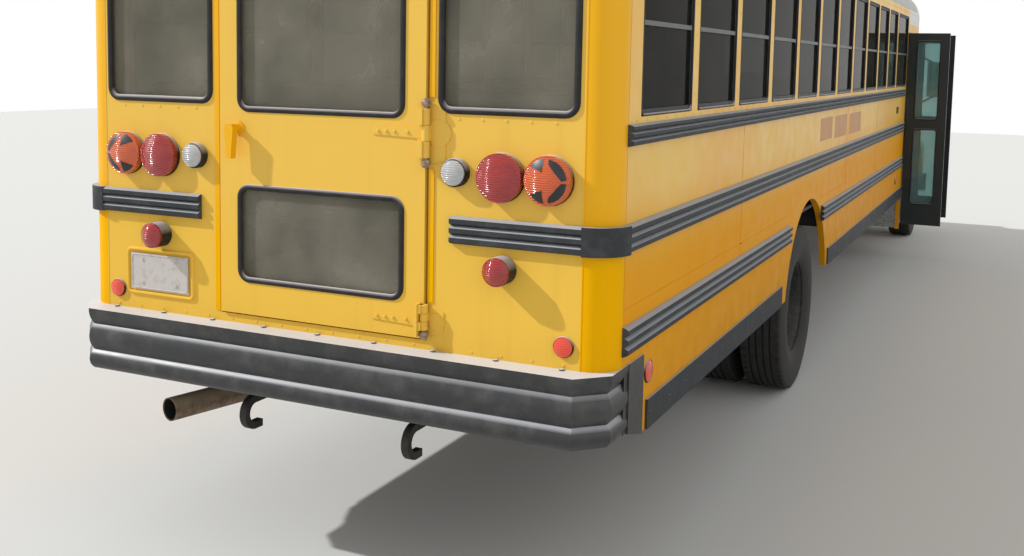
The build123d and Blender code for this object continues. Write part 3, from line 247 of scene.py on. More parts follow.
def worn(name, base, scuff, roughness, size_mm=60.0, share=(0.5, 0.72), bump_mm=0.3, metallic=0.0,
         dust=None, level=0.1, shine=0.5):
    """A colour with scuffs of a real size. Dust and painted sunlight lie on the faces that look up more than
    a level.
    """
    material, tree, shader = new_finish(name, {"Metallic": metallic, "Specular IOR Level": shine})
    place = add(tree, COORDINATES).outputs["Object"]
    scrape = add(tree, NOISE, {"Vector": place, "Scale": 1000.0 / size_mm, "Detail": 7.0, "Roughness": 0.65})
    colours = {0: add(tree, RANGE, (scrape, *share)), COLOUR_A: linear(base), COLOUR_B: linear(scuff)}
    colour = add(tree, MIX, colours, data_type="RGBA")
    if dust:
        # Faces that look up take the pale colour: real dust, and painted sunlight on the tops.
        normal = add(tree, "ShaderNodeNewGeometry").outputs["Normal"]
        up = add(tree, SPLIT, (normal,)).outputs["Z"]
        dust_and_sheen = add(tree, RANGE, (up, level, 0.95, 0.0, 0.85))
        colours = {0: dust_and_sheen, COLOUR_A: colour.outputs[BLEND], COLOUR_B: linear(dust)}
        colour = add(tree, MIX, colours, data_type="RGBA")
    gloss = add(tree, RANGE, (scrape, 0.3, 0.7, roughness - 0.08, roughness + 0.12))
    grit = add(tree, NOISE, {"Vector": place, "Scale": GRIT_PER_METRE, "Detail": 2.0})
    bump = add(tree, BUMP, {"Height": grit, "Strength": 0.35, "Distance": bump_mm / 1000.0})
    feed(tree, shader, {"Base Color": colour.outputs[BLEND], "Roughness": gloss, "Normal": bump})
    return material


# Rails: black enamel; the tops of the ribs are greyed by dust and by a painted sunlit highlight.
RAIL_BLACK = worn("rail_black_enamel", "#3E4043", "#55585B", 0.4, 90.0, (0.5, 0.8),
                  dust="#B4B7BA", shine=0.03)
# Bumpers: thicker black enamel; every face that looks up is pale with road dust and with painted sunlight.
BUMPER_BLACK = worn("bumper_black_enamel", "#28292B", "#4E4D4B", 0.38, 120.0, (0.46, 0.8),
                    dust="#E0E1E6", level=0.42)
# Door frames: a green-black paint, slightly glossy.
DOOR_DARK = worn("door_dark_green", "#121A19", "#222D2B", 0.34, 120.0, (0.55, 0.8))
# Chassis: flat black with dried mud.
CHASSIS = worn("chassis_black", "#1C1A18", "#3D372F", 0.7, 80.0, (0.42, 0.7))
# Soot: the inside of the tailpipe.
SOOT = worn("pipe_soot", "#0D0C0B", "#1C1A17", 0.9, 20.0)
# Exhaust: mild steel with an even brown rust and a paler bloom from the heat; the faces that look up are
# paler still, with dust and painted sunlight.
RUST = worn("rusty_exhaust_steel", "#5E4C3C", "#85705A", 0.75, 35.0, (0.4, 0.65), 0.6, dust="#A8967E")
# Gaskets: black rubber; what looks up is pale with dust and with a painted highlight.
GASKET = worn("gasket_rubber", "#1B1A1B", "#343233", 0.5, 60.0, (0.45, 0.8),
              dust="#D2C9C7", level=0.12, shine=0.3)
# Tyres: dull rubber, browner where the dust sticks.
TYRE = worn("tyre_rubber", "#1F1F1E", "#3B3833", 0.8, 45.0, (0.45, 0.75), 0.5)
# Wheels: dark with brake dust, grey paint where it is rubbed off.
WHEEL_PAINT = worn("wheel_paint", "#262625", "#4A463F", 0.6, 40.0, (0.45, 0.72))
# Sashes: aluminium anodised black; the meeting bars stay pale.
SASH = worn("sash_dark_aluminium", "#17191A", "#2B2E30", 0.42, 70.0, (0.45, 0.7), 0.1, shine=0.15)
SASH_BAR = worn("sash_pale_aluminium", "#4A4F4E", "#626664", 0.4, 70.0, (0.45, 0.7), 0.1, shine=0.3)
# Hinge balls: cast steel, brown with old paint and rust.
HINGE_STEEL = worn("hinge_ball_steel", "#7C6552", "#B09A84", 0.5, 12.0, (0.42, 0.62))
# Galvanised: bright spangle gone dull.
GALVANISED = worn("galvanised_steel", "#8B8D8C", "#B0AFA8", 0.45, 25.0, (0.45, 0.6), 0.1, 0.85)
# Floor: black ribbed rubber, trodden grey.
FLOOR_MAT = worn("ribbed_floor_rubber", "#2D2E2E", "#44433F", 0.7, 70.0)
# Dashboard, grille and steering wheel: moulded black plastic with a soft sheen.
PLASTIC = worn("dash_plastic", "#242424", "#363634", 0.5, 50.0)
# Plate: white enamel, dulled and stained.
PLATE = worn("plate_white_enamel", "#C0BAB5", "#A59E98", 0.45, 30.0, (0.5, 0.75))
# Reflective sheet on the stop sign: glass beads under a clear film.
SIGN_RED = worn("red_reflective_sheet", "#B4161A", "#A01518", 0.3, 80.0)
SIGN_WHITE = worn("white_reflective_sheet", "#E8E8E4", "#D0D0CA", 0.35, 80.0)
# Mirror shells, wipers and lamp marks: moulded black plastic, a little glossier.
MIRROR_SHELL = worn("mirror_shell_black", "#1B1C1E", "#303133", 0.4, 50.0)
# Mirror glass: bare reflection, nearly smooth.
MIRROR = worn("mirror_glass", "#D8DCDC", "#C8CCCC", 0.12, 200.0, (0.5, 0.8), 0.02, 1.0)
# Benches: grained vinyl in a dull grey-blue, paler where people rub it.
VINYL = worn("bench_vinyl", "#465054", "#5C676A", 0.42, 14.0, (0.4, 0.62), 0.5)
# Sun-faded squares on the side: the same enamel, gone tan.
FADED = worn("faded_paint", "#BD8A58", "#C4934C", 0.5, 90.0)
print("dark finishes made")

# %% [markdown]
# ## Glass and lenses
# Bus windows are sheets with a grey tint, which is dark at the sides, and a film of dust.
# Lamp lenses are coloured acrylic: a little light passes them, and they have a wet gloss and moulded ribs.
# A plain Transparent shader would do for a clean pane. Here the dust is what the eye sees first, so a
# glass shader is mixed with a thin diffuse film.

# %% Glass and lens finishes
RIB_MM = 8.0


def glass(name, tint, dust, dust_share, side_tint=None, ior=1.46):
    """A clear sheet under a film of dust; the side panes may have a tint of their own."""
    values = {"Base Color": linear(tint), "Roughness": 0.03, "Transmission Weight": 1.0, "IOR": ior}
    material, tree, shader = new_finish(name, values)
    place = add(tree, COORDINATES).outputs["Object"]
    film = add(tree, NOISE, {"Vector": place, "Scale": 3.0, "Detail": 6.0, "Roughness": 0.6})
    amount = add(tree, RANGE, (film, 0.35, 0.75, dust_share * 0.5, dust_share))
    if side_tint:
        # The side panes have been wiped and have a dark tint.
        across = add(tree, SPLIT, (place,)).outputs["X"]
        across = add(tree, MATHS, (across,), operation="ABSOLUTE")
        at_side = add(tree, MATHS, (across, SIDE_X - 0.08), operation="GREATER_THAN")
        colours = {0: at_side, COLOUR_A: linear(tint), COLOUR_B: linear(side_tint)}
        feed(tree, shader, {"Base Color": add(tree, MIX, colours, data_type="RGBA").outputs[BLEND]})
        wiped = add(tree, RANGE, (at_side, 0.0, 1.0, 1.0, 0.12))
        amount = add(tree, MATHS, (amount, wiped), operation="MULTIPLY")
    powder = add(tree, "ShaderNodeBsdfDiffuse", {"Color": linear(dust)})
    mix = add(tree, "ShaderNodeMixShader", (amount, shader, powder))
    feed(tree, tree.nodes["Material Output"], {"Surface": mix})
    return material


def lens(name, colour, roughness=0.12, through=0.22, ribs=1.0):
    """Ribbed plastic, partly clear, under a gloss coat. A wave's bands are tau / 20 / Scale metres wide."""
    values = {"Roughness": roughness, "Transmission Weight": through, "IOR": 1.49}
    values.update({"Coat Weight": 0.6, "Coat Roughness": 0.05})
    material, tree, shader = new_finish(name, values)
    place = add(tree, COORDINATES).outputs["Object"]
    pale = [min(1.0, c * 1.25 + 0.02) for c in linear(colour)[:3]] + [1.0]
    haze = add(tree, NOISE, {"Vector": place, "Scale": 30.0, "Detail": 4.0})
    hazed = add(tree, MIX, {0: haze, COLOUR_A: linear(colour), COLOUR_B: pale}, data_type="RGBA")
    bands = {"Vector": place, "Scale": math.tau / 20.0 / (RIB_MM / 1000.0)}
    ridge = add(tree, "ShaderNodeTexWave", bands, wave_type="BANDS", bands_direction="Z").outputs["Fac"]
    bump = add(tree, BUMP, {"Height": ridge, "Strength": ribs, "Distance": 0.003})
    feed(tree, shader, {"Base Color": hazed.outputs[BLEND], "Normal": bump})
    return material


# Windows: dusty and light behind; the side panes have a dark tint. The film of dust cuts their glare,
# so their IOR is low.
WINDOW_GLASS = glass("dusty_window_glass", "#B4B8B2", "#A39D8E", 0.5, "#272B2A", ior=1.05)
# Door panes: clear glass with a green tint.
DOOR_GLASS = glass("greenish_door_glass", "#BCD9D6", "#9CBDBB", 0.3)
# Windshield: laminated glass, the clearest pane of all.
WINDSHIELD_GLASS = glass("windshield_glass", "#C3CFCB", "#8C8C86", 0.1)
# Lenses and reflectors: moulded acrylic, dyed through, so they look deep. A reflector is nearly opaque.
RED_LENS = lens("red_lens", "#B01518")
REFLECTOR = lens("orange_red_reflector", "#DE3A12", 0.15, 0.1, 0.4)
AMBER_LENS = lens("amber_lens", "#E45C14")
CLEAR_LENS = lens("clear_lens", "#D9DBDC", 0.1, 0.35)
print("glass and lenses made")

# %% [markdown]
# ## Finishes on the solids
# The CAD nodes come in bare. Each could be dressed where its trim is made, but one list of what is made
# of what is easier to read and to change.

# %% Finishes on the CAD nodes
dress(YELLOW, "side_wall_left", "side_wall_right", "rear_wall", "front_wall", "hood_shell")
dress(YELLOW, "emergency_door")
dress(WHITE, "roof_shell")
dress(RAIL_BLACK, "rub_rails", "stop_arm_base")
dress(BUMPER_BLACK, "rear_bumper", "front_bumper")
dress(DOOR_DARK, "entrance_leaf_rear", "entrance_leaf_front")
dress(CHASSIS, "chassis_frame", "engine_block", "radiator", "driveshaft", "rear_axle", "front_axle")
dress(CHASSIS, "leaf_springs", "fuel_tank", "steering_knuckle_left", "steering_knuckle_right")
dress(RUST, "exhaust")
dress(SASH, "window_sashes")
dress(GALVANISED, "stepwell", "seat_frames")
dress(FLOOR_MAT, "floor_deck")
dress(PLASTIC, "dashboard", "steering_wheel", "grille")
dress(VINYL, "seats", "driver_seat")
dress(WINDOW_GLASS, "body_glass", "emergency_door_glass")
dress(WINDSHIELD_GLASS, "windshield_glass")
dress(DOOR_GLASS, "entrance_glass_rear", "entrance_glass_front")
dress(RED_LENS, "red_lamps")
dress(AMBER_LENS, "amber_lamps")
dress(CLEAR_LENS, "clear_lamps", "headlamps")
dress(PLATE, "licence_plate")
dress(MIRROR_SHELL, "door_mirrors")
dress(SIGN_RED, "stop_arm")
dress(TYRE, "front_tyre_left", "front_tyre_right", "rear_tyres_left", "rear_tyres_right")
dress(WHEEL_PAINT, "front_rim_left", "front_rim_right", "rear_rims_left", "rear_rims_right")

# %% [markdown]
# ## Shapes
# Each shape is a pair of lists, points and faces. A shape on a wall is drawn flat, in two lengths along
# the wall and one out of it, and a place function sets it on the rear, a side, a leaf or the windshield.
# Blender's own primitives could be placed one by one. Lists are exact, quick and easy to join by hundreds.

# %% Shape helpers
SIDEWAYS, BACKWARD, FRONTWARD, UPWARD = (1, 0, 0), (0, 1, 0), (0, -1, 0), (0, 0, 1)
ORIGIN = (0, 0, 0)


def y_at(ahead):
    """The Y of a length ahead of the rear face, in metres."""
    return REAR_Y - ahead


def cuboid(low, high):
    (x0, y0, z0), (x1, y1, z1) = low, high
    points = [(x, y, z) for z in (z0, z1) for y in (y0, y1) for x in (x0, x1)]
    return points, [(0, 1, 3, 2), (4, 5, 7, 6), (0, 1, 5, 4), (2, 3, 7, 6), (0, 2, 6, 4), (1, 3, 7, 5)]


def rectangle(a0, a1, b0, b1):
    """An outline from two lengths along a wall and two up it."""
    return [(a0, b0), (a1, b0), (a1, b1), (a0, b1)]


def lathe(profile, centre, axis=BACKWARD, segments=40, loop=False):
    """A solid of revolution from (along, radius) rows; it closes on the axis, or as a loop."""
    forward = Vector(axis).normalized()
    across = forward.orthogonal().normalized()
    other = forward.cross(across)
    points, rings = [], []
    for along, radius in profile:
        count = segments if radius else 1
        rings.append([len(points) + k for k in range(count)])
        for k in range(count):
            angle = math.tau * k / segments
            out = (across * math.cos(angle) + other * math.sin(angle)) * radius
            points.append(Vector(centre) + forward * along + out)
    faces = []
    pairs = list(zip(rings[:-1], rings[1:])) + ([(rings[-1], rings[0])] if loop else [])
    for first, second in pairs:
        for k in range(segments):
            quad = [first[k % len(first)], first[(k + 1) % len(first)]]
            quad += [second[(k + 1) % len(second)], second[k % len(second)]]
            face = list(dict.fromkeys(quad))
            if len(face) > 2:
                faces.append(face)
    return points, faces


def on_rear(a, b, out):
    return a, REAR_Y + out, b


def on_plan(a, b, out):
    """Place function of a plan outline, raised to a height."""
    return a, b, out


def on_side(side):
    """Place function of a body side: lengths ahead of the rear face, height, out."""
    return lambda a, b, out: (side * (SIDE_X + out), y_at(a), b)


def slab(place, outline, out0, out1):
    """A flat piece with a given outline, between two depths."""
    count = len(outline)
    points = [place(a, b, out0) for a, b in outline] + [place(a, b, out1) for a, b in outline]
    faces = [tuple(range(count)), tuple(range(count, 2 * count))]
    faces += [(k, (k + 1) % count, count + (k + 1) % count, count + k) for k in range(count)]
    return points, faces


def band(place, outer, inner, out0, out1):
    """A flat ring between two outlines of as many points."""
    count = len(outer)
    loops = [(outer, out0), (outer, out1), (inner, out1), (inner, out0)]
    points = [place(a, b, out) for outline, out in loops for a, b in outline]
    faces = []
    for edge in range(4):
        first, second = edge * count, (edge + 1) % 4 * count
        for k in range(count):
            faces.append((first + k, first + (k + 1) % count, second + (k + 1) % count, second + k))
    return points, faces


def rounded(centre, half, radius, steps=6):
    """Points round a rounded rectangle, with the outward direction at each."""
    path = []
    for quarter, (side_a, side_b) in enumerate(((1, 1), (-1, 1), (-1, -1), (1, -1))):
        middle = (centre[0] + side_a * (half[0] - radius), centre[1] + side_b * (half[1] - radius))
        for step in range(steps + 1):
            angle = (quarter + step / steps) * math.pi / 2
            out = (math.cos(angle), math.sin(angle))
            path.append((middle[0] + radius * out[0], middle[1] + radius * out[1], *out))
    return path


def bead(width, height, base=0.0, steps=5):
    """Half-round section of a rubber lip, as (outward, out of the wall) rows."""
    arc = [(math.cos(math.pi * k / steps), math.sin(math.pi * k / steps)) for k in range(steps + 1)]
    return [(width / 2 * a, base + height * b) for a, b in arc]


def lip(place, centre, half, radius, section):
    """A section carried round a rounded rectangle."""
    path = rounded(centre, half, radius)
    count, rows = len(path), len(section)
    points = [place(a + na * wide, b + nb * wide, out) for a, b, na, nb in path for wide, out in section]
    faces = []
    for i in range(count):
        first, second = i * rows, (i + 1) % count * rows
        for j in range(rows):
            faces.append((first + j, second + j, second + (j + 1) % rows, first + (j + 1) % rows))
    return points, faces


def tube(start, end, radius, segments=12):
    """A round bar with flat ends."""
    along = Vector(end) - Vector(start)
    length = along.length
    return lathe([(0, 0), (0, radius), (length, radius), (length, 0)], start, along, segments)


# %% [markdown]
# ## From shapes to pieces
# A piece is one mesh with one finish. It rides on a body of the CAD, so that it opens, turns or steers
# with it.

# %% Piece helpers
def mount(name, mesh, material, body, smooth=35.0):
    mesh.materials.clear()
    mesh.materials.append(material)
    mesh.polygons.foreach_set("use_smooth", [True] * len(mesh.polygons))
    mesh.set_sharp_from_angle(angle=math.radians(smooth))
    made = bpy.data.objects.new(name, mesh)
    bpy.context.scene.collection.objects.link(made)
    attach(made, body)
    return made


def to_mesh(name, shapes):
    points, faces = [], []
    for shape_points, shape_faces in shapes:
        first = len(points)
        points += [tuple(point) for point in shape_points]
        faces += [[first + index for index in face] for face in shape_faces]
    mesh = bpy.data.meshes.new(name)
    mesh.from_pydata(points, [], faces)
    grid = bmesh.new()
    grid.from_mesh(mesh)
    bmesh.ops.recalc_face_normals(grid, faces=grid.faces)
    grid.to_mesh(mesh)
    grid.free()
    return mesh


def build(name, shapes, material, body, smooth=35.0):
    return mount(name, to_mesh(name, shapes), material, body, smooth)


# %% [markdown]
# ## Cut and keep
# Holes through a disc, or a mark that follows a dome, are hard to write as points. A Boolean modifier makes
# them from two simple shapes, and what it makes is kept as a plain mesh.

# %% Cut and keep
def combine(name, shapes, other_shapes, operation):
    """A mesh of the shapes with the others cut out of it, or of what both share."""
    pair = []
    for part, content in (("whole", shapes), ("tool", other_shapes)):
        helper = bpy.data.objects.new(f"{name}_{part}", to_mesh(f"{name}_{part}", content))
        bpy.context.scene.collection.objects.link(helper)
        pair.append(helper)
    step = pair[0].modifiers.new("step", "BOOLEAN")
    step.operation, step.solver, step.object = operation, "EXACT", pair[1]
    mesh = bpy.data.meshes.new_from_object(pair[0].evaluated_get(bpy.context.evaluated_depsgraph_get()))
    for helper in pair:
        bpy.data.objects.remove(helper)
    return mesh


# %% [markdown]
# ## Copies by Geometry Nodes
# Rivets, wheel nuts, tread blocks and benches repeat. One node tree copies a model onto points,
# turns each copy by the point's own angles, joins the copies and gives them their finish. A loop in Python
# could copy the faces too, but the tree keeps one small model and a list of places.

# %% Copy tree
def copy_tree():
    tree = bpy.data.node_groups.new("copies_on_points", "GeometryNodeTree")
    for name, kind in (("Points", "Geometry"), ("Model", "Object"), ("Finish", "Material")):
        tree.interface.new_socket(name, in_out="INPUT", socket_type=f"NodeSocket{kind}")
    tree.interface.new_socket("Copies", in_out="OUTPUT", socket_type="NodeSocketGeometry")
    entry = tree.nodes.new("NodeGroupInput").outputs
    spots = add(tree, "GeometryNodeMeshToPoints", {"Mesh": entry["Points"]})
    model = add(tree, "GeometryNodeObjectInfo", {"Object": entry["Model"]}, transform_space="ORIGINAL")
    angles = add(tree, "GeometryNodeInputNamedAttribute", {"Name": "turn"}, data_type="FLOAT_VECTOR")
    spin = add(tree, "FunctionNodeEulerToRotation", {0: angles.outputs["Attribute"]})
    links = {"Points": spots, "Instance": model.outputs["Geometry"], "Rotation": spin}
    copies = add(tree, "GeometryNodeInstanceOnPoints", links)
    solid = add(tree, "GeometryNodeRealizeInstances", (copies,))
    painted = add(tree, "GeometryNodeSetMaterial", {"Geometry": solid, "Material": entry["Finish"]})
    add(tree, "NodeGroupOutput", {"Copies": painted})
    return tree


COPIES = copy_tree()
print("copy tree:", len(COPIES.nodes), "nodes")


def copy_onto(name, model_shapes, places, material, body, smooth=35.0):
    """One mesh of copies of a model, each set by a matrix."""
    carrier_mesh = bpy.data.meshes.new(f"{name}_points")
    carrier_mesh.from_pydata([place.translation for place in places], [], [])
    angles = carrier_mesh.attributes.new("turn", "FLOAT_VECTOR", "POINT")
    angles.data.foreach_set("vector", [value for place in places for value in place.to_euler()])
    carrier = bpy.data.objects.new(f"{name}_points", carrier_mesh)
    model = bpy.data.objects.new(f"{name}_model", to_mesh(f"{name}_model", model_shapes))
    for helper in (carrier, model):
        bpy.context.scene.collection.objects.link(helper)
    modifier = carrier.modifiers.new("copies", "NODES")
    modifier.node_group = COPIES
    sockets = {item.name: item.identifier for item in COPIES.interface.items_tree}
    modifier[sockets["Model"]] = model
    modifier[sockets["Finish"]] = material
    ready = carrier.evaluated_get(bpy.context.evaluated_depsgraph_get())
    mesh = bpy.data.meshes.new_from_object(ready)
    for helper in (carrier, model):
        bpy.data.objects.remove(helper)
    return mount(name, mesh, material, body, smooth)


# %% [markdown]
# ## Window rubber and sash bars
# Every pane is held by a rubber lip. The rear windows' lips are wide and stand proud; their lower edge
# is pale with dust and with a painted highlight. The side windows have a pale meeting bar between the two
# panes. A bevelled curve could follow a pane. A half-round section carried round its outline gives the
# same lip with fewer faces.

# %% Windows
FIRST_WINDOW, FIRST_POST, PITCH, POST = 0.246, 0.8815, 0.707, 0.086
WINDOW_LOW, WINDOW_HIGH, SASH_SPLIT = 1.882, 2.611, 2.215
WINDOWS = [(FIRST_WINDOW, FIRST_POST)]
WINDOWS += [(FIRST_POST + POST + PITCH * i, FIRST_POST + PITCH * (i + 1)) for i in range(10)]
WINDOWS.append((WINDOWS[-1][1] + POST, 8.917))
DRIVER_WINDOW = (8.990, 9.820)
DOOR_OUT = 0.012
EXIT_WINDOWS = ((1.185, 1.560), (1.862, 2.420))
REAR_PANE_X, REAR_PANE_Z, REAR_PANE_HALF = 0.7865, 2.184, (0.2625, 0.294)
EXIT_PANE_HALF_WIDE, PANE_CORNER = 0.370, 0.043
BAR_HALF, BAR_INSET = 0.009, 0.020

rear_lips = []
for side in (-1, 1):
    centre = (side * REAR_PANE_X, REAR_PANE_Z)
    rear_lips.append(lip(on_rear, centre, REAR_PANE_HALF, PANE_CORNER, bead(0.027, 0.012, -0.002)))
build("rear_window_rubber", rear_lips, GASKET, "coach")

door_lips = []
for low, high in EXIT_WINDOWS:
    half = (EXIT_PANE_HALF_WIDE, (high - low) / 2 - 0.002)
    section = bead(0.024, 0.009, DOOR_OUT - 0.001)
    door_lips.append(lip(on_rear, (0, (low + high) / 2), half, PANE_CORNER, section))
build("exit_window_rubber", door_lips, GASKET, "emergency_exit")

bars, rubbers = [], []
window_z, half_high = (WINDOW_LOW + WINDOW_HIGH) / 2, (WINDOW_HIGH - WINDOW_LOW) / 2 - 0.004
for side in (-1, 1):
    place = on_side(side)
    for start, end in WINDOWS + ([DRIVER_WINDOW] if side > 0 else []):
        bar = rectangle(start + BAR_INSET, end - BAR_INSET, SASH_SPLIT - BAR_HALF, SASH_SPLIT + BAR_HALF)
        bars.append(slab(place, bar, -0.012, -0.0035))
        centre, half = ((start + end) / 2, window_z), ((end - start) / 2 - 0.004, half_high)
        rubbers.append(lip(place, centre, half, 0.03, bead(0.012, 0.006, -0.004)))
build("sash_bars", bars, SASH_BAR, "coach")
build("side_window_rubber", rubbers, GASKET, "coach")
print("window rubber and sash bars made")

# %% [markdown]
# ## Rivets
# Domed rivets hold the panels: five under each rear window, a row along the rear wall's foot, rows along
# the rails' grooves, the skirt strip, the sills and the roof seam, and a column down each window post.
# Bumps in the paint would look flat from the side, so every head is a small dome of its own.

# %% Rivets
RIVET_R, RIVET_HIGH = 0.0065, 0.0032
RIVET_PROFILE = [(0, 0), (0, RIVET_R), (RIVET_HIGH * 0.6, RIVET_R * 0.75), (RIVET_HIGH, 0)]
RIVET = [lathe(RIVET_PROFILE, ORIGIN, UPWARD, 10)]
FACE_REAR = Matrix.Rotation(-math.pi / 2, 4, "X")
FACE_SIDE = {side: Matrix.Rotation(side * math.pi / 2, 4, "Y") for side in (-1, 1)}
# Heights of the middle rail, of the grooves in all rails, and of the bare skin between the rails.
MIDDLE_RAIL = (1.410, 1.512)
LOW_GROOVES, MIDDLE_GROOVES, TOP_GROOVES = (1.079, 1.115), (1.444, 1.478), (1.809, 1.834)
LOWER_SKIN, UPPER_SKIN, WINDOW_SKIN = (1.154, 1.404), (1.518, 1.780), (1.864, 2.680)
# How far the skin, the grooves and the strip stand out where a rivet sits on them.
ON_SKIN, ON_RAIL, ON_STRIP = -0.0005, 0.0085, 0.0095
# Rows on the rear wall, from its middle outward: start, end and pitch, then heights.
UNDER_WINDOW, WALL_FOOT = (0.598, 0.974, 0.094), (0.060, 1.020, 0.120)
UNDER_WINDOW_Z, WALL_FOOT_Z = 1.860, 1.019
# Rows on the sides, ahead of the rear face. The wheel opening parts the low rail and the skirt strip.
ROOF_ROW, SILL_ROW, POST_COLUMN = (0.2, 9.8, 0.101), (0.2, 8.9, 0.118), (1.95, 2.55, 0.12)
WHOLE_RAIL, PARTED_RAIL = (0.16, 8.74, 0.235), ((0.16, 2.94, 0.235), (4.09, 8.74, 0.235))
STRIP_ROWS = ((0.43, 2.79, 0.236), (4.4, 8.9, 0.236))
ROOF_ROW_Z, SILL_ROW_Z, STRIP_Z = 2.655, 1.871, 0.760


def row(start, end, pitch):
    """Lengths spread evenly from a start to an end, about a pitch apart."""
    count = max(2, round((end - start) / pitch) + 1)
    return [start + (end - start) * k / (count - 1) for k in range(count)]


panel_rivets = []
for side in (-1, 1):
    rear_spots = [(x, UNDER_WINDOW_Z, 0.0) for x in row(*UNDER_WINDOW)]
    rear_spots += [(x, WALL_FOOT_Z, ON_SKIN) for x in row(*WALL_FOOT)]
    panel_rivets += [Matrix.Translation(on_rear(side * x, z, out)) @ FACE_REAR for x, z, out in rear_spots]
    spots = [(v, ROOF_ROW_Z) for v in row(*ROOF_ROW)]
    spots += [(v, SILL_ROW_Z) for v in row(*SILL_ROW)]
    spots += [(window[1] + POST / 2, z) for window in WINDOWS[:-1] for z in row(*POST_COLUMN)]
    panel_rivets += [Matrix.Translation(on_side(side)(v, z, ON_SKIN)) @ FACE_SIDE[side] for v, z in spots]
copy_onto("panel_rivets", RIVET, panel_rivets, YELLOW, "coach")

rail_rivets = []
for side in (-1, 1):
    spots = [(v, z, ON_RAIL) for z in MIDDLE_GROOVES + TOP_GROOVES for v in row(*WHOLE_RAIL)]
    spots += [(v, z, ON_RAIL) for z in LOW_GROOVES for stretch in PARTED_RAIL for v in row(*stretch)]
    spots += [(v, STRIP_Z, ON_STRIP) for stretch in STRIP_ROWS for v in row(*stretch)]
    rail_rivets += [Matrix.Translation(on_side(side)(*spot)) @ FACE_SIDE[side] for spot in spots]
copy_onto("rail_rivets", RIVET, rail_rivets, RAIL_BLACK, "coach")

BUMPER_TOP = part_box("rear_bumper")[1][2]
BOLT_PROFILE = [(0, 0), (0, 0.010), (0.005, 0.010), (0.007, 0.007), (0.007, 0)]
BOLT = [lathe(BOLT_PROFILE, ORIGIN, UPWARD, 6)]
ledge_bolts = [Matrix.Translation((x, REAR_Y + 0.014, BUMPER_TOP - 0.0005)) for x in row(-1.02, 1.02, 0.25)]
copy_onto("ledge_bolts", BOLT, ledge_bolts, BUMPER_BLACK, "coach")
print("rivets:", len(panel_rivets) + len(rail_rivets), "bolts:", len(ledge_bolts))

# %% [markdown]
# ## Rail corners and panel seams
# The middle rail turns the rear corner under a smooth cap. A strip could be bent round it, but a plan of two
# arcs, raised to the rail's height, has the exact radius. The body's sheets overlap and leave thin lines:
# they are low strips laid on the skin, because a line that stands out needs an edge to catch the light.

# %% Rail corners
RAIL_PROUD, CORNER_R, CORNER_STEPS = 0.0255, 0.110, 12
corner_caps = []
for side in (-1, 1):
    angles = [math.pi / 2 * k / CORNER_STEPS for k in range(CORNER_STEPS + 1)]
    middle_x, middle_y = SIDE_X - CORNER_R, REAR_Y - CORNER_R
    outlines = []
    for radius in (CORNER_R + 0.002, CORNER_R + RAIL_PROUD):
        arc = [(side * (middle_x + radius * math.cos(a)), middle_y + radius * math.sin(a)) for a in angles]
        outlines.append(arc)
    corner_caps.append(slab(on_plan, outlines[1] + outlines[0][::-1], *MIDDLE_RAIL))
build("rail_corner_caps", corner_caps, RAIL_BLACK, "coach")
print("rail corner caps:", len(corner_caps))

# %% Panel seams
SEAM, SEAM_WIDE, LAP_WIDE, ROOF_EDGE = 0.0014, 0.008, 0.030, 2.66
# Ahead of the rear face: the corner post's seam, the laps of the sheets and the low crease.
POST_SEAM, LAPS = 0.114, (1.80, 5.05, 6.70)
CREASES, CREASE_Z = ((0.12, 2.93), (4.10, 8.90)), (1.205, 1.211)
seams_up = []
for side in (-1, 1):
    for low, high in ((BUMPER_TOP, LOWER_SKIN[1]), (UPPER_SKIN[0], ROOF_EDGE)):
        outline = rectangle(side * (POST_X - SEAM_WIDE / 2), side * (POST_X + SEAM_WIDE / 2), low, high)
        seams_up.append(slab(on_rear, outline, -0.001, SEAM))
    strips = [(POST_SEAM, POST_SEAM + SEAM_WIDE, *skin) for skin in (LOWER_SKIN, UPPER_SKIN, WINDOW_SKIN)]
    strips += [(v, v + LAP_WIDE, *skin) for v in LAPS for skin in (LOWER_SKIN, UPPER_SKIN)]
    strips += [(*crease, *CREASE_Z) for crease in CREASES]
    seams_up += [slab(on_side(side), rectangle(*strip), -0.001, SEAM) for strip in strips]
build("panel_seams", seams_up, YELLOW, "coach")
print("panel seams:", len(seams_up))

# %% [markdown]
# ## Lamps
# Each lamp is a moulded lens on a black rubber ring. The turn lamps are amber domes with four black marks,
# which leave an arrow that points outward. The small stop and reversing lamps stand on black cans, and
# flat reflectors sit low at the corners. All are round, so a lathe makes them from a few numbers. The marks
# could be drawn flat, but cut from a second dome they follow the lens.

# %% Rear lamps
def dome(centre, radius, base, high, facing=1, steps=7):
    """A lens: a short wall, then a shallow dome."""
    profile = [(0, 0), (0, radius), (base, radius)]
    for step in range(steps + 1):
        share = 1 - step / steps
        profile.append((base + (high - base) * (1 - share ** 2), radius * 0.96 * share))
    return lathe(profile, centre, (0, facing, 0), 48)


def ring(centre, outer, inner, high, facing=1):
    """A flat ring with a rounded crest."""
    profile = [(0, inner), (0, outer), (high * 0.7, outer), (high, outer - 0.002), (high, inner)]
    return lathe(profile, centre, (0, facing, 0), 48, loop=True)


# Places and radii: distance from the middle, height, radius.
RED_BIG, RED_SMALL, REFLECT = (0.772, 1.662, 0.089), (0.782, 1.334, 0.052), (1.020, 1.085, 0.038)
AMBER_BIG, REVERSE = (0.957, 1.663, 0.089), (0.592, 1.670, 0.052)
RED_WARN, AMBER_WARN = (0.900, 2.680, 0.089), (0.640, 2.680, 0.089)
LENS_WALL, LENS_HIGH = 0.036, 0.062
WARN_WALL, WARN_HIGH = 0.016, 0.038
FRONT_WARN_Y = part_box("red_lamps")[0][1]

reds, ambers, clears, blacks, reflectors = [], [], [], [], []
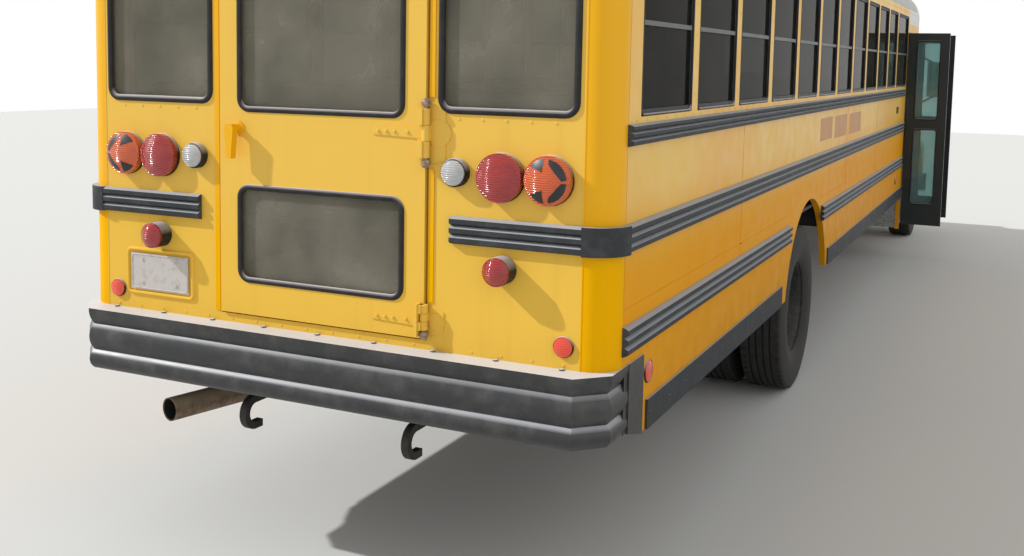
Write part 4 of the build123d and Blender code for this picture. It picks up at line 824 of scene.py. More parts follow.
# In a ring: how much smaller the lens is, its wall and height, how wide and how high the ring is.
RINGED = (
    (reds, RED_BIG, 0.002, LENS_WALL, LENS_HIGH, 0.004, 0.014),
    (ambers, AMBER_BIG, 0.002, LENS_WALL, LENS_HIGH, 0.004, 0.012),
    (reflectors, REFLECT, 0.003, 0.012, 0.018, 0.005, 0.010),
    (reds, RED_WARN, 0.003, WARN_WALL, WARN_HIGH, 0.006, 0.016),
    (ambers, AMBER_WARN, 0.003, WARN_WALL, WARN_HIGH, 0.006, 0.016),
)
# On a can: how much smaller the lens is, where it starts, its height, the can's height and bevel.
CANNED = (
    (reds, RED_SMALL, 0.001, 0.058, 0.036, 0.062, 0.004),
    (clears, REVERSE, 0.006, 0.028, 0.026, 0.032, 0.006),
)
for side in (-1, 1):
    for kind, (x, z, r), smaller, wall, high, ring_wide, ring_high in RINGED:
        kind.append(dome((side * x, REAR_Y, z), r - smaller, wall, high))
        blacks.append(ring((side * x, REAR_Y, z), r, r - ring_wide, ring_high))
    for kind, (x, z, r), smaller, start, high, can_high, bevel in CANNED:
        can = [(0, 0), (0, r), (can_high - bevel, r), (can_high, r - 0.003), (can_high, 0)]
        blacks.append(lathe(can, (side * x, REAR_Y, z), segments=48))
        kind.append(dome((side * x, REAR_Y + start, z), r - smaller, 0.010, high))
    for kind, (x, z, r) in ((reds, RED_WARN), (ambers, AMBER_WARN)):
        kind.append(dome((side * x, FRONT_WARN_Y + 0.040, z), r - 0.003, WARN_WALL, WARN_HIGH, -1))
        can = [(0, 0), (0, r), (0.060, r), (0.060, 0)]
        blacks.append(lathe(can, (side * x, FRONT_WARN_Y + 0.080, z), FRONTWARD, 48))
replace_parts(build("red_lenses", reds, RED_LENS, "coach"), "red_lamps")
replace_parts(build("amber_lenses", ambers, AMBER_LENS, "coach"), "amber_lamps")
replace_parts(build("clear_lenses", clears, CLEAR_LENS, "coach"), "clear_lamps")
build("lamp_rings", blacks, GASKET, "coach")
build("corner_reflectors", reflectors, REFLECTOR, "coach")
print("lenses:", len(reds) + len(ambers) + len(clears), "reflectors:", len(reflectors))

# %% Arrow marks
# The marks are cut from a dome that lies closely over the lens. Angles are in degrees from outward.
def rim_points(radius, *degrees):
    return [(radius * math.cos(math.radians(a)), radius * math.sin(math.radians(a))) for a in degrees]


HALF_MARKS = (
    [(-0.009, 0.031)] + rim_points(0.079, 97, 108, 119, 130, 141),
    [(0.010, 0.060)] + rim_points(0.076, 84, 68, 52, 36, 20, 5) + [(0.060, 0.004)],
)
MARKS = [[(a, flip * b) for a, b in mark] for mark in HALF_MARKS for flip in (1, -1)]
for side, name in ((1, "left"), (-1, "right")):
    at = (side * AMBER_BIG[0], AMBER_BIG[1])
    prisms = [slab(on_rear, [(at[0] + side * a, at[1] + b) for a, b in mark], 0.012, 0.080) for mark in MARKS]
    over = [dome((at[0], REAR_Y, at[1]), AMBER_BIG[2] - 0.0015, LENS_WALL + 0.0004, LENS_HIGH + 0.0006)]
    marks = combine(f"arrow_marks_{name}", over, prisms, "INTERSECT")
    mount(f"arrow_marks_{name}", marks, MIRROR_SHELL, "coach")
print("marks on each turn lamp:", len(MARKS))

# %% [markdown]
# ## Plate, reflectors and marks on the skin
# The blank plate sits in a pressed frame. Three faded squares lie on the right side, and small side
# markers sit near the door and behind the rear wheel. Black plates back the bumper's ends, and soot
# lines the tailpipe. Noise in the paint can't give a clear edge, so each is a thin piece of its own.

# %% Marks on the skin
PLATE_AT, PLATE_HALF, RECESS_HALF = (0.792, 1.168), (0.152, 0.076), (0.172, 0.092)
SCREW_X, SCREW_Z = 0.089, 0.048
recess = [lip(on_rear, PLATE_AT, RECESS_HALF, 0.02, bead(0.016, 0.010))]
build("plate_recess", recess, YELLOW, "coach")
rim_half = [half - 0.006 for half in PLATE_HALF]
plate_edge = [lip(on_rear, PLATE_AT, rim_half, 0.012, bead(0.004, 0.0025, 0.0078))]
screw = [(0, 0), (0, 0.007), (0.003, 0.006), (0.004, 0)]
for a in (PLATE_AT[0] - SCREW_X, PLATE_AT[0] + SCREW_X):
    for b in (PLATE_AT[1] - SCREW_Z, PLATE_AT[1] + SCREW_Z):
        plate_edge.append(lathe(screw, on_rear(a, b, 0.008), segments=12))
build("plate_edge", plate_edge, PLATE, "coach")

# Faded squares: start and end ahead of the rear face, low and high edge.
SQUARES = ((3.90, 4.36, 1.585, 1.735), (4.46, 5.00, 1.575, 1.730), (5.12, 5.72, 1.570, 1.725))
patches = [slab(on_side(-1), rectangle(*square), -0.0005, 0.0004) for square in SQUARES]
build("faded_squares", patches, FADED, "coach")

REFLECTOR_SPOTS, MARKER_AT, MARKER_HALF = ((8.385, 0.937), (0.410, 0.923)), (8.24, 1.655), (0.045, 0.030)
reflectors, marker_rims, markers = [], [], []
disc = [(0, 0), (0, 0.040), (0.006, 0.040), (0.010, 0.034), (0.011, 0)]
for side in (-1, 1):
    place = on_side(side)
    for v, z in REFLECTOR_SPOTS:
        reflectors.append(lathe(disc, place(v, z, 0), (side, 0, 0), 36))
        marker_rims.append(lip(place, (v, z), (0.042, 0.042), 0.0415, bead(0.006, 0.007)))
    (v, z), (wide, high) = MARKER_AT, MARKER_HALF
    markers.append(slab(place, rectangle(v - wide, v + wide, z - high, z + high), 0.0, 0.010))
    marker_rims.append(lip(place, MARKER_AT, (wide + 0.003, high + 0.003), 0.008, bead(0.008, 0.007)))
build("side_reflectors", reflectors, REFLECTOR, "coach")
build("side_markers", markers, AMBER_LENS, "coach")
build("marker_rims", marker_rims, GASKET, "coach")

outline = [(0.140, 0.752), (0.172, 0.752), (0.188, 0.748), (0.188, 0.998), (0.140, 0.998)]
backing = [slab(on_side(side), outline, -0.0005, 0.0015) for side in (-1, 1)]
build("bumper_backing", backing, BUMPER_BLACK, "coach")

# The tailpipe's end and the bend before it, as in the solids.
PIPE_END, PIPE_BEFORE = Vector((0.790, 5.935, 0.575)), Vector((0.430, y_at(1.500), 0.578))
PIPE_IN, SOOT_FROM, SOOT_TO = 0.0455, 0.004, 0.145
liner = [(SOOT_FROM, PIPE_IN), (SOOT_FROM, PIPE_IN - 0.001), (SOOT_TO, PIPE_IN - 0.001)]
liner += [(SOOT_TO, 0), (SOOT_TO + 0.002, 0), (SOOT_TO + 0.002, PIPE_IN)]
soot = lathe(liner, PIPE_END, PIPE_BEFORE - PIPE_END, 40)
build("tailpipe_soot", [soot], SOOT, "coach")
print("plate, patches and markers made")

# %% [markdown]
# ## Emergency door
# Its hinges have ball-ended pins, a middle knuckle and a round plate on the body, and two knuckles and a
# studded strap on the door. The low hinge has a flange where the upper one has its second ball. A rubber
# seal shows in the gap all round, and the lever is a paddle on a shaft. All of it is drums, balls and flat
# outlines, in one piece for each body that they move with, so that the hinge works when the door opens.

# %% Emergency door details
HINGE_X, HINGE_OUT, BALL_R = -0.475, 0.024, 0.018
DOOR_Z = (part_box("emergency_door")[0][2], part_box("emergency_door")[1][2])
# Each hinge: lowest and highest point with its balls, and the round plate's radius. The low one has a flange
# in place of its upper ball.
HINGES = ((1.047, 1.182, 0.034), (1.679, 1.933, 0.052))
FLANGED = HINGES[0]
PIN_R, KNUCKLE_R = 0.009, 0.015
# The studded strap: from the hinge's side to its tip, half its height at both, and the studs on it.
STRAP_X, STRAP_END, STRAP_HALF, STRAP_END_HALF = HINGE_X + 0.013, -0.245, 0.021, 0.013
STUDS_X = (-0.395, -0.340, -0.305, -0.270)
# The leaf that carries the door's knuckles starts this far out.
LEAF_FOOT = 0.0145


def drum(low, high, radius):
    """A round length of a hinge, on the hinge's axis."""
    profile = [(0, 0), (0, radius - 0.001), (0.001, radius), (high - low - 0.001, radius)]
    profile += [(high - low, radius - 0.001), (high - low, 0)]
    return lathe(profile, on_rear(HINGE_X, low, HINGE_OUT), UPWARD, 28)


def ball(z):
    arc = [(-math.cos(math.pi * k / 8), math.sin(math.pi * k / 8)) for k in range(9)]
    profile = [(BALL_R * a, BALL_R * b if 0 < k < 8 else 0) for k, (a, b) in enumerate(arc)]
    return lathe(profile, on_rear(HINGE_X, z, HINGE_OUT), UPWARD, 20)


pins, body_side, door_side = [], [], []
stud = [(0, 0), (0, 0.007), (0.006, 0.006), (0.009, 0)]
for hinge in HINGES:
    low, high, plate_r = hinge
    first, last = low + 2.1 * BALL_R, high - (0.2 if hinge is FLANGED else 2.1) * BALL_R
    third, middle = (last - first) / 3, (low + high) / 2
    knuckle_low, knuckle_high = first + third + 0.001, last - third - 0.001
    pins += [ball(low + BALL_R), drum(low + BALL_R, last - 0.001, PIN_R)]
    if hinge is FLANGED:
        edge = on_rear(HINGE_X + 0.016, low + 0.014, LEAF_FOOT), on_rear(HINGE_X + 0.028, high, 0.050)
        door_side.append(cuboid(*edge))
    else:
        pins += [ball(high - BALL_R), drum(last - 0.002, high - BALL_R, PIN_R)]
    body_side.append(drum(knuckle_low, knuckle_high, KNUCKLE_R))
    tongue = on_rear(HINGE_X - 0.012, knuckle_low, -0.001), on_rear(HINGE_X - 0.002, knuckle_high, HINGE_OUT)
    body_side.append(cuboid(*tongue))
    disc = [(0, 0), (0, plate_r), (0.0055, plate_r), (0.007, plate_r - 0.002), (0.007, 0)]
    body_side.append(lathe(disc, on_rear(HINGE_X - 0.040, middle, -0.001)))
    outline = [(HINGE_X - 0.070, low + 0.030), (HINGE_X - 0.004, low + 0.012)]
    outline += [(HINGE_X - 0.004, high - 0.012), (HINGE_X - 0.070, high - 0.030)]
    body_side.append(slab(on_rear, outline, -0.001, 0.004))
    for a, b in ((first, first + third), (last - third, last)):
        door_side.append(drum(a, b, KNUCKLE_R))
        door_side.append(cuboid(on_rear(HINGE_X + 0.004, a, LEAF_FOOT), on_rear(HINGE_X + 0.032, b, 0.046)))
    strap = [(STRAP_X, middle - STRAP_HALF), (STRAP_END, middle - STRAP_END_HALF)]
    strap += [(STRAP_END + 0.005, middle), (STRAP_END, middle + STRAP_END_HALF)]
    strap.append((STRAP_X, middle + STRAP_HALF))
    door_side.append(slab(on_rear, strap, DOOR_OUT - 0.0005, DOOR_OUT + 0.005))
    tall = rectangle(STRAP_X, HINGE_X + 0.040, first, last)
    door_side.append(slab(on_rear, tall, DOOR_OUT - 0.0005, DOOR_OUT + 0.0045))
    for x in STUDS_X:
        door_side.append(lathe(stud, on_rear(x, middle, DOOR_OUT + 0.004), segments=12))
build("hinge_pins", pins, HINGE_STEEL, "coach")
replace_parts(build("hinge_body_side", body_side, YELLOW, "coach"), "exit_hinge_brackets")

# The lever's paddle stands well off the door and throws a long shadow.
LEVER_X, LEVER_LOW, LEVER_HIGH = 0.377, 1.672, 1.806
LEVER_OUT, LEVER_THICK = 0.072, 0.030
paddle = [(-0.010, LEVER_LOW), (0.012, LEVER_LOW + 0.002), (0.021, LEVER_HIGH - 0.014), (0.014, LEVER_HIGH)]
paddle += [(-0.014, LEVER_HIGH), (-0.021, LEVER_HIGH - 0.012)]
shaft = [(0, 0), (0, 0.027), (0.006, 0.027), (0.009, 0.015), (0.048, 0.014), (0.048, 0)]
lever = [slab(on_rear, [(LEVER_X + a, z) for a, z in paddle], LEVER_OUT - LEVER_THICK, LEVER_OUT)]
lever.append(lathe(shaft, on_rear(LEVER_X - 0.002, LEVER_HIGH - 0.016, DOOR_OUT - 0.001), segments=28))
# The paddle is in the deep yellow, as painted shade on its face.
build("door_lever", lever, FRESH_AND_SHADED_YELLOW, "emergency_exit")
hinge_half = build("hinge_door_side", door_side, YELLOW, "emergency_exit")
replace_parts(hinge_half, "emergency_door_fittings")

door_middle, door_half = sum(DOOR_Z) / 2, (DOOR_Z[1] - DOOR_Z[0]) / 2
seal = [lip(on_rear, (0, door_middle), (0.463, door_half - 0.004), 0.006, bead(0.006, 0.006, -0.010))]
build("door_seal", seal, GASKET, "emergency_exit")
# The folded edge of the doorway: whole on the lever's side, and between the hinges on theirs.
FLANGE_IN, FLANGE_TO = 0.478, 0.500
FLANGE_RUNS = ((1, *DOOR_Z), (-1, 1.185, 1.676), (-1, 1.936, DOOR_Z[1]))
flanges = []
for side, low, high in FLANGE_RUNS:
    outline = rectangle(side * FLANGE_IN, side * FLANGE_TO, low, high)
    flanges.append(slab(on_rear, outline, -0.001, 0.004))
build("doorway_flanges", flanges, FRESH_AND_SHADED_YELLOW, "coach")
print("emergency door details made")

# %% [markdown]
# ## Entrance leaves
# Each leaf is a dark frame with two panes in rubber, a soft nosing along its free edge and a deep
# rubber skirt at the bottom that closes against the step. The rubber could be made closed and then turned.
# It is laid straight on the open leaf, by a place function, because the leaves stand open in the photo.

# %% Entrance leaves
LEAF_GLASS = ((0.641, 1.434), (1.538, 2.360))
LEAF_AXIS_X, LEAF_IN, LEAF_WIDE = 1.200, 0.088, 0.232
LEAF_SET, LEAF_THICK, LEAF_TIP = 0.002, 0.035, 0.406
REAR_EDGE, FRONT_EDGE = 8.960, 9.786
GRIP_X, GRIP_OUT, GRIP_FOOT = -LEAF_AXIS_X - 0.35, 0.062, 0.036


def on_leaf(edge, turn_sign, face):
    """Place function of an open leaf: across from its hinge, height, out of the given face."""
    deep = LEAF_SET + (LEAF_THICK if face > 0 else 0.0)
    return lambda a, b, out: (-LEAF_AXIS_X - a, y_at(edge + turn_sign * (deep + face * out)), b)


def grip_at(ahead, z):
    """A point of the grab rail, by its length ahead of the rear leaf's edge and its height."""
    return GRIP_X, y_at(REAR_EDGE + ahead), z


for name, edge, turn_sign in (("rear", REAR_EDGE, 1), ("front", FRONT_EDGE, -1)):
    rubber = []
    for low, high in LEAF_GLASS:
        for face in (-1, 1):
            place = on_leaf(edge, turn_sign, face)
            centre, half = (LEAF_IN + LEAF_WIDE / 2, (low + high) / 2), (LEAF_WIDE / 2, (high - low) / 2)
            rubber.append(lip(place, centre, half, 0.03, bead(0.016, 0.0018 if face < 0 else 0.005, -0.0002)))
    skirt = rectangle(0.010, 0.404, 0.420, 0.518)
    nosing = rectangle(LEAF_TIP - 0.024, LEAF_TIP - 0.001, 0.520, 2.440)
    rubber += [slab(on_leaf(edge, turn_sign, 1), outline, -0.001, 0.004) for outline in (skirt, nosing)]
    build(f"leaf_rubber_{name}", rubber, GASKET, f"entrance_{name}")
grip = [tube(grip_at(GRIP_OUT, 1.15), grip_at(GRIP_OUT, 1.75), 0.012)]
grip += [tube(grip_at(GRIP_FOOT, z), grip_at(GRIP_OUT, z), 0.008) for z in (1.17, 1.73)]
build("leaf_grip", grip, GALVANISED, "entrance_rear")
print("entrance leaves made")

# %% [markdown]
# ## Wheels
# The tyre's section has a rounded sidewall, four grooves and a row of shoulder blocks on each side.
# Disc wheels have ten hand holes, cut by a ring of round cutters, and ten nuts round the hub. A modelled
# and arrayed slice would do as well, but a lathe closes without a seam.

# %% Tyres
WHEEL_R, TRACK, DUAL = 0.525, 1.005, 0.680
AXLES = {"front": y_at(11.150), "rear": y_at(3.690)}
TREAD_R, TREAD_HALF, GROOVE_R, GROOVE_HALF = WHEEL_R - 0.001, 0.086, WHEEL_R - 0.012, 0.005
GROOVES = (-0.063, -0.021, 0.021, 0.063)


def tyre_profile(middle):
    """Section of a tyre, as (x, radius) rows round a loop."""
    outer = [(0.105, 0.286), (0.118, 0.300), (0.132, 0.340), (0.139, 0.395), (0.137, 0.440), (0.130, 0.480)]
    outer += [(0.124, 0.506), (0.114, 0.517), (0.092, 0.519)]
    tread = [(TREAD_HALF, TREAD_R)]
    for x in reversed(GROOVES):
        tread += [(x + GROOVE_HALF, TREAD_R), (x + GROOVE_HALF, GROOVE_R)]
        tread += [(x - GROOVE_HALF, GROOVE_R), (x - GROOVE_HALF, TREAD_R)]
    tread.append((-TREAD_HALF, TREAD_R))
    rows = outer + tread + [(-x, r) for x, r in reversed(outer)]
    return [(middle + x, r) for x, r in rows]


LUG = [cuboid((-0.014, -0.0165, -0.006), (0.014, 0.0165, 0.0))]
LUG_COUNT, SHOULDER = 60, 0.100


def lug_places(middle, y):
    places = []
    for k in range(LUG_COUNT):
        angle = math.tau * k / LUG_COUNT
        spin = Matrix.Translation((0, y, WHEEL_R)) @ Matrix.Rotation(angle, 4, "X")
        for x in (middle - SHOULDER, middle + SHOULDER):
            places.append(spin @ Matrix.Translation((x, 0, WHEEL_R - 0.0015)))
    return places


def make_tyres(name, middles, y, body, node):
    shapes = [lathe(tyre_profile(x), (0, y, WHEEL_R), SIDEWAYS, 96, loop=True) for x in middles]
    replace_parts(build(name, shapes, TYRE, body, 28.0), node)
    places = [place for x in middles for place in lug_places(x, y)]
    copy_onto(f"{name}_lugs", LUG, places, TYRE, body)


for side, name in ((1, "left"), (-1, "right")):
    front, rear = [side * TRACK], [side * TRACK, side * DUAL]
    make_tyres(f"front_tread_{name}", front, AXLES["front"], f"front_wheel_{name}", f"front_tyre_{name}")
    make_tyres(f"rear_tread_{name}", rear, AXLES["rear"], f"rear_wheels_{name}", f"rear_tyres_{name}")
print("tyres made")

# %% Rims
HOLE_COUNT, HOLE_RING, HOLE_R = 10, 0.200, 0.027
NUT_COUNT, NUT_RING, NUT_R = 10, 0.143, 0.017
NUT_PROFILE = [(0, 0), (0, NUT_R), (0.022, NUT_R), (0.026, NUT_R * 0.6), (0.030, NUT_R * 0.6), (0.030, 0)]
NUT = [lathe(NUT_PROFILE, ORIGIN, UPWARD, 6)]


def around(y, count, radius, x, phase=0.0):
    """Points spread evenly round a wheel's axis."""
    angles = [math.tau * (k + phase) / count for k in range(count)]
    return [(x, y + radius * math.cos(a), WHEEL_R + radius * math.sin(a)) for a in angles]


def drilled(name, profile, y, side, reach):
    """A lathed wheel with hand holes cut through it."""
    flipped = [(side * x, r) for x, r in profile]
    wheel = lathe(flipped, (0, y, WHEEL_R), SIDEWAYS, 72, loop=True)
    cutters = [tube((side * reach[0], py, pz), (side * reach[1], py, pz), HOLE_R, 20)
               for _, py, pz in around(y, HOLE_COUNT, HOLE_RING, 0.0)]
    return combine(name, [wheel], cutters, "DIFFERENCE")


FRONT_RIM = [
    (1.105, 0.286), (1.110, 0.296), (1.100, 0.297), (1.097, 0.276), (1.060, 0.262), (1.030, 0.258),
    (1.034, 0.240), (1.052, 0.180), (1.056, 0.110), (1.075, 0.098), (1.118, 0.088), (1.125, 0.070),
    (1.125, 0.0605), (0.965, 0.0605), (0.965, 0.130), (1.036, 0.168), (1.018, 0.240), (1.000, 0.248),
    (0.915, 0.262), (0.900, 0.286),
]
REAR_RIM = [
    (1.105, 0.286), (1.110, 0.296), (1.100, 0.297), (1.097, 0.276), (1.060, 0.264), (0.925, 0.256),
    (0.890, 0.240), (0.868, 0.190), (0.860, 0.110), (1.000, 0.105), (1.055, 0.090), (1.064, 0.070),
    (1.064, 0.0605), (0.720, 0.0605), (0.720, 0.170), (0.828, 0.186), (0.806, 0.240), (0.780, 0.256),
    (0.590, 0.262), (0.577, 0.286), (0.577, 0.2865), (0.785, 0.2865), (0.800, 0.268), (0.880, 0.268),
    (0.900, 0.286),
]
# At each end: body, node, section, reach of the cutters and the face that the nuts sit on.
ENDS = (
    ("front", "front_wheel", "front_rim", FRONT_RIM, (0.98, 1.08), 1.055),
    ("rear", "rear_wheels", "rear_rims", REAR_RIM, (0.80, 0.90), 0.862),
)
for side, name in ((1, "left"), (-1, "right")):
    for end, wheel, rim, profile, reach, face in ENDS:
        mesh = drilled(f"{end}_disc_{name}", profile, AXLES[end], side, reach)
        disc = mount(f"{end}_disc_{name}", mesh, WHEEL_PAINT, f"{wheel}_{name}")
        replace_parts(disc, f"{rim}_{name}")
        spots = around(AXLES[end], NUT_COUNT, NUT_RING, side * face, 0.5)
        places = [Matrix.Translation(spot) @ FACE_SIDE[side] for spot in spots]
        copy_onto(f"{end}_nuts_{name}", NUT, places, GALVANISED, f"{wheel}_{name}")
print("rims made")

# %% [markdown]
# ## Benches
# School-bus benches are foam pads in vinyl. Each pad is a rounded block whose faces swell, with a
# welt sewn round its edge. One bench is modelled and copied to its 24 places. Cloth simulation would add
# wrinkles, but these benches show only through dusty glass, where a swell of a few millimetres is enough.

# %% Padded benches
SEAT_FIRST, AISLE, SEAT_OUT = 0.270, 0.164, 1.152
BENCH_HALF = (SEAT_OUT - AISLE) / 2
CUSHION_AT, CUSHION_HALF, CUSHION_WELT_Z = (0, -0.340, 1.392), (BENCH_HALF, 0.205, 0.060), 1.438
BACK_AT, BACK_HALF, BACK_WELT = (0, -0.082, 1.672), (BENCH_HALF, 0.042, 0.280), 0.030
BACK_PLACE = Matrix.Translation(BACK_AT) @ Matrix.Rotation(math.atan2(0.060, 0.500), 4, "X")
PAD_EDGE, WELT_IN, BENCH_ROWS = 0.03, 0.008, 12


def pad(half, edge, swell, cuts=10):
    """A rounded block about the origin with faces that swell."""
    grid = bmesh.new()
    bmesh.ops.create_cube(grid, size=2.0)
    bmesh.ops.subdivide_edges(grid, edges=grid.edges, cuts=cuts, use_grid_fill=True)
    for vertex in grid.verts:
        unit = vertex.co.copy()
        point = Vector((unit[i] * half[i] for i in range(3)))
        core = Vector((max(-half[i] + edge, min(half[i] - edge, point[i])) for i in range(3)))
        out = point - core
        if out.length > 0:
            point = core + out.normalized() * edge
        for i in range(3):
            if abs(abs(unit[i]) - 1.0) < 1e-5:
                others = [j for j in range(3) if j != i]
                crown = (1 - unit[others[0]] ** 4) * (1 - unit[others[1]] ** 4)
                point[i] += math.copysign(swell * crown, unit[i])
        vertex.co = point
    points = [tuple(vertex.co) for vertex in grid.verts]
    grid.verts.index_update()
    faces = [[vertex.index for vertex in face.verts] for face in grid.faces]
    grid.free()
    return points, faces


def moved(shape, matrix):
    points, faces = shape
    return [matrix @ Vector(point) for point in points], faces


def on_cushion(a, b, out):
    """Place function of the cushion's top edge."""
    return a, CUSHION_AT[1] + b, CUSHION_WELT_Z + out


def on_back(facing):
    """Place function of the leaning back's rear face or, with -1, its front face."""
    return lambda a, b, out: tuple(BACK_PLACE @ Vector((a, facing * (BACK_WELT + out), b)))


def bench_shapes():
    """Cushion, back and welts, about a point on the floor of the bench's rear edge."""
    cushion = moved(pad(CUSHION_HALF, PAD_EDGE, 0.006), Matrix.Translation(CUSHION_AT))
    back = moved(pad(BACK_HALF, PAD_EDGE, 0.005), BACK_PLACE)
    welts = []
    edges = ((on_back(1), BACK_HALF[2]), (on_back(-1), BACK_HALF[2]), (on_cushion, CUSHION_HALF[1]))
    for place, reach in edges:
        half = (BENCH_HALF - WELT_IN, reach - WELT_IN)
        welts.append(lip(place, (0, 0), half, PAD_EDGE, bead(0.007, 0.007, 0.004)))
    return [cushion, back] + welts


bench_places = []
for index in range(BENCH_ROWS):
    y = y_at(SEAT_FIRST + index * PITCH)
    bench_places += [Matrix.Translation((side * (AISLE + BENCH_HALF), y, 0)) for side in (-1, 1)]
benches = copy_onto("padded_benches", bench_shapes(), bench_places, VINYL, "coach", 60.0)
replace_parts(benches, "seats")
print("benches:", len(bench_places))

# %% [markdown]
# ## Driver's seat
# A smaller pad and back on a box. The benches' own pad function makes them, so both have the same swell.

# %% Driver's seat
DRIVER_X, DRIVER_FRONT = 0.55, 9.880


def behind(length):
    """The Y of a length behind the front of the driver's place."""
    return y_at(DRIVER_FRONT - length)


cushion_at = Matrix.Translation((DRIVER_X, behind(0.57), 1.362))
driver_back_at = Matrix.Translation((DRIVER_X, behind(0.785), 1.700)) @ Matrix.Rotation(0.10, 4, "X")
driver = [moved(pad((0.23, 0.23, 0.062), PAD_EDGE, 0.008), cushion_at)]
driver.append(moved(pad((0.22, 0.045, 0.29), PAD_EDGE, 0.008), driver_back_at))
driver.append(cuboid((DRIVER_X - 0.13, behind(0.42), 1.020), (DRIVER_X + 0.13, behind(0.68), 1.305)))
driver_pad = build("driver_pad", driver, VINYL, "coach", 60.0)
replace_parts(driver_pad, "driver_seat")
print("driver's seat made")

# %% [markdown]
# ## Front end and driver's side
# The photo doesn't show them. They have what such a bus has: rubber round the windshield, wipers,
# bezels, turn lamps, hood latches, mirror glass and a blank stop sign with a white border. The helpers
# that made the rear make them too, so both ends look as if they came from one workshop.

# %% Windshield, wipers and mirrors
FRONT_Y, LEAN, BASE_Z = y_at(10.180), 0.110 / 0.907, 1.590
PANE_X, PANE_Z, PANE_HALF = 0.5425, 2.040, (0.5175, 0.38)
PIVOT_Z, WIPER_REACH, BLADE_HALF = 1.635, 0.42, 0.22
MIRROR_X, MIRROR_AHEAD, MIRROR_Z = (1.298, 1.492), (10.262, 10.2595), (1.760, 2.140)


def on_windshield(a, b, out):
    """Place function of the leaning front: across, height, out."""
    return a, FRONT_Y + LEAN * (b - BASE_Z) - out, b


section = bead(0.03, 0.012, -0.002)
shield = [lip(on_windshield, (x, PANE_Z), PANE_HALF, 0.045, section) for x in (-PANE_X, PANE_X)]
build("windshield_rubber", shield, GASKET, "coach")
wipers = []
pivot = [(0, 0), (0, 0.016), (0.03, 0.014), (0.03, 0)]
for x in (-0.85, 0.20):
    tip = x + WIPER_REACH
    wipers.append(tube(on_windshield(x, PIVOT_Z, 0.022), on_windshield(tip, 1.86, 0.016), 0.006))
    wipers.append(lathe(pivot, on_windshield(x, PIVOT_Z, -0.004), FRONTWARD, 16))
    blade = on_windshield(tip - BLADE_HALF, 1.78, 0.012), on_windshield(tip + BLADE_HALF, 1.94, 0.012)
    wipers.append(tube(*blade, 0.005))
build("wipers", wipers, MIRROR_SHELL, "coach")
mirror_panes = []
for side in (-1, 1):
    low, high = [(side * x, y_at(ahead), z) for x, ahead, z in zip(MIRROR_X, MIRROR_AHEAD, MIRROR_Z)]
    mirror_panes.append(cuboid(low, high))
build("mirror_panes", mirror_panes, MIRROR, "coach")
print("windshield and mirrors made")

# %% [markdown]
# ## Hood details
# Lamps and latches ride on the hood and tip with it. The hood's flank is curved, so each latch sits where a
# ray from the side meets it, which no typed number would follow if the hood changed.

# %% Hood details
HOOD_FRONT_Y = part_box("hood_shell")[0][1]
HEADLAMP_X, TURN_LAMP_X, LAMP_Z = 0.860, 1.055, 0.870
LATCH_AHEAD, LATCH_Z, KEEPER_Z = (10.27, 10.24), (1.270, 1.360), 1.285
hood_mesh = NODES["hood_shell"].data
HOOD = BVHTree.FromPolygons([v.co for v in hood_mesh.vertices], [p.vertices for p in hood_mesh.polygons])
bezels, turn_lamps, latches, hood_glass = [], [], [], []
for side in (-1, 1):
    at = (side * HEADLAMP_X, HOOD_FRONT_Y, LAMP_Z)
    bezels.append(ring(at, 0.098, 0.086, 0.014, -1))
    hood_glass.append(dome(at, 0.086, 0.006, 0.0155, -1))
    turn_lamps.append(dome((side * TURN_LAMP_X, HOOD_FRONT_Y, LAMP_Z), 0.045, 0.008, 0.014, -1))
    hit = HOOD.ray_cast(Vector((side * 2.0, y_at(LATCH_AHEAD[1]), 1.300)), Vector((-side, 0, 0)))[0]
    low, high = [(y_at(ahead), z) for ahead, z in zip(LATCH_AHEAD, LATCH_Z)]
    latches.append(cuboid((hit.x - 0.012, *low), (hit.x + 0.012, *high)))
    middle = ((low[0] + high[0]) / 2, KEEPER_Z)
    latches.append(tube((hit.x - 0.016, *middle), (hit.x + 0.016, *middle), 0.022))
build("headlamp_bezels", bezels, GALVANISED, "hood")
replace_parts(build("headlamp_glass", hood_glass, CLEAR_LENS, "hood"), "headlamps")
build("front_turn_lamps", turn_lamps, AMBER_LENS, "hood")
build("hood_latches", latches, GASKET, "hood")
print("hood details made")

# %% [markdown]
# ## Stop sign
# The blade is a red octagon, left blank. Its white border could be painted on, but a flat ring between two
# octagons has a clean edge without a picture. Two red lamps stand on it.

# %% Stop sign
SIGN_AT, SIGN_R, SIGN_OUT = (8.700, 1.640), 0.243, 0.0455


def octagon(radius):
    angles = [math.tau * (k + 0.5) / 8 for k in range(8)]
    return [(SIGN_AT[0] + radius * math.cos(a), SIGN_AT[1] + radius * math.sin(a)) for a in angles]


place = on_side(1)
border = band(place, octagon(SIGN_R - 0.004), octagon(SIGN_R - 0.020), SIGN_OUT, SIGN_OUT + 0.0013)
build("sign_border", [border], SIGN_WHITE, "stop_sign")
bulge = [(0, 0), (0, 0.045), (0.010, 0.043), (0.018, 0.030), (0.021, 0)]
spots = [place(SIGN_AT[0], SIGN_AT[1] + dz, SIGN_OUT) for dz in (-0.155, 0.155)]
sign_lamps = [lathe(bulge, spot, SIDEWAYS, 32) for spot in spots]
build("sign_lamps", sign_lamps, RED_LENS, "stop_sign")
print("stop sign made")

# %% [markdown]
# ## Roof bows
# The roof sheets overlap at every window post. Each joint is a low band, laid on the roof by casting
# rays down onto the CAD surface. A Shrinkwrap modifier could press a strip down too, but rays give the
# height at each point and keep the band's section.

# %% Roof seams
roof_mesh = NODES["roof_shell"].data
ROOF = BVHTree.FromPolygons([v.co for v in roof_mesh.vertices], [p.vertices for p in roof_mesh.polygons])
ROOF_TOP = CAD_HIGH[2]
ROOF_HALF, ROOF_STEPS = 1.186, 48
BAND_FOOT, BAND_CREST = 0.020, 0.016


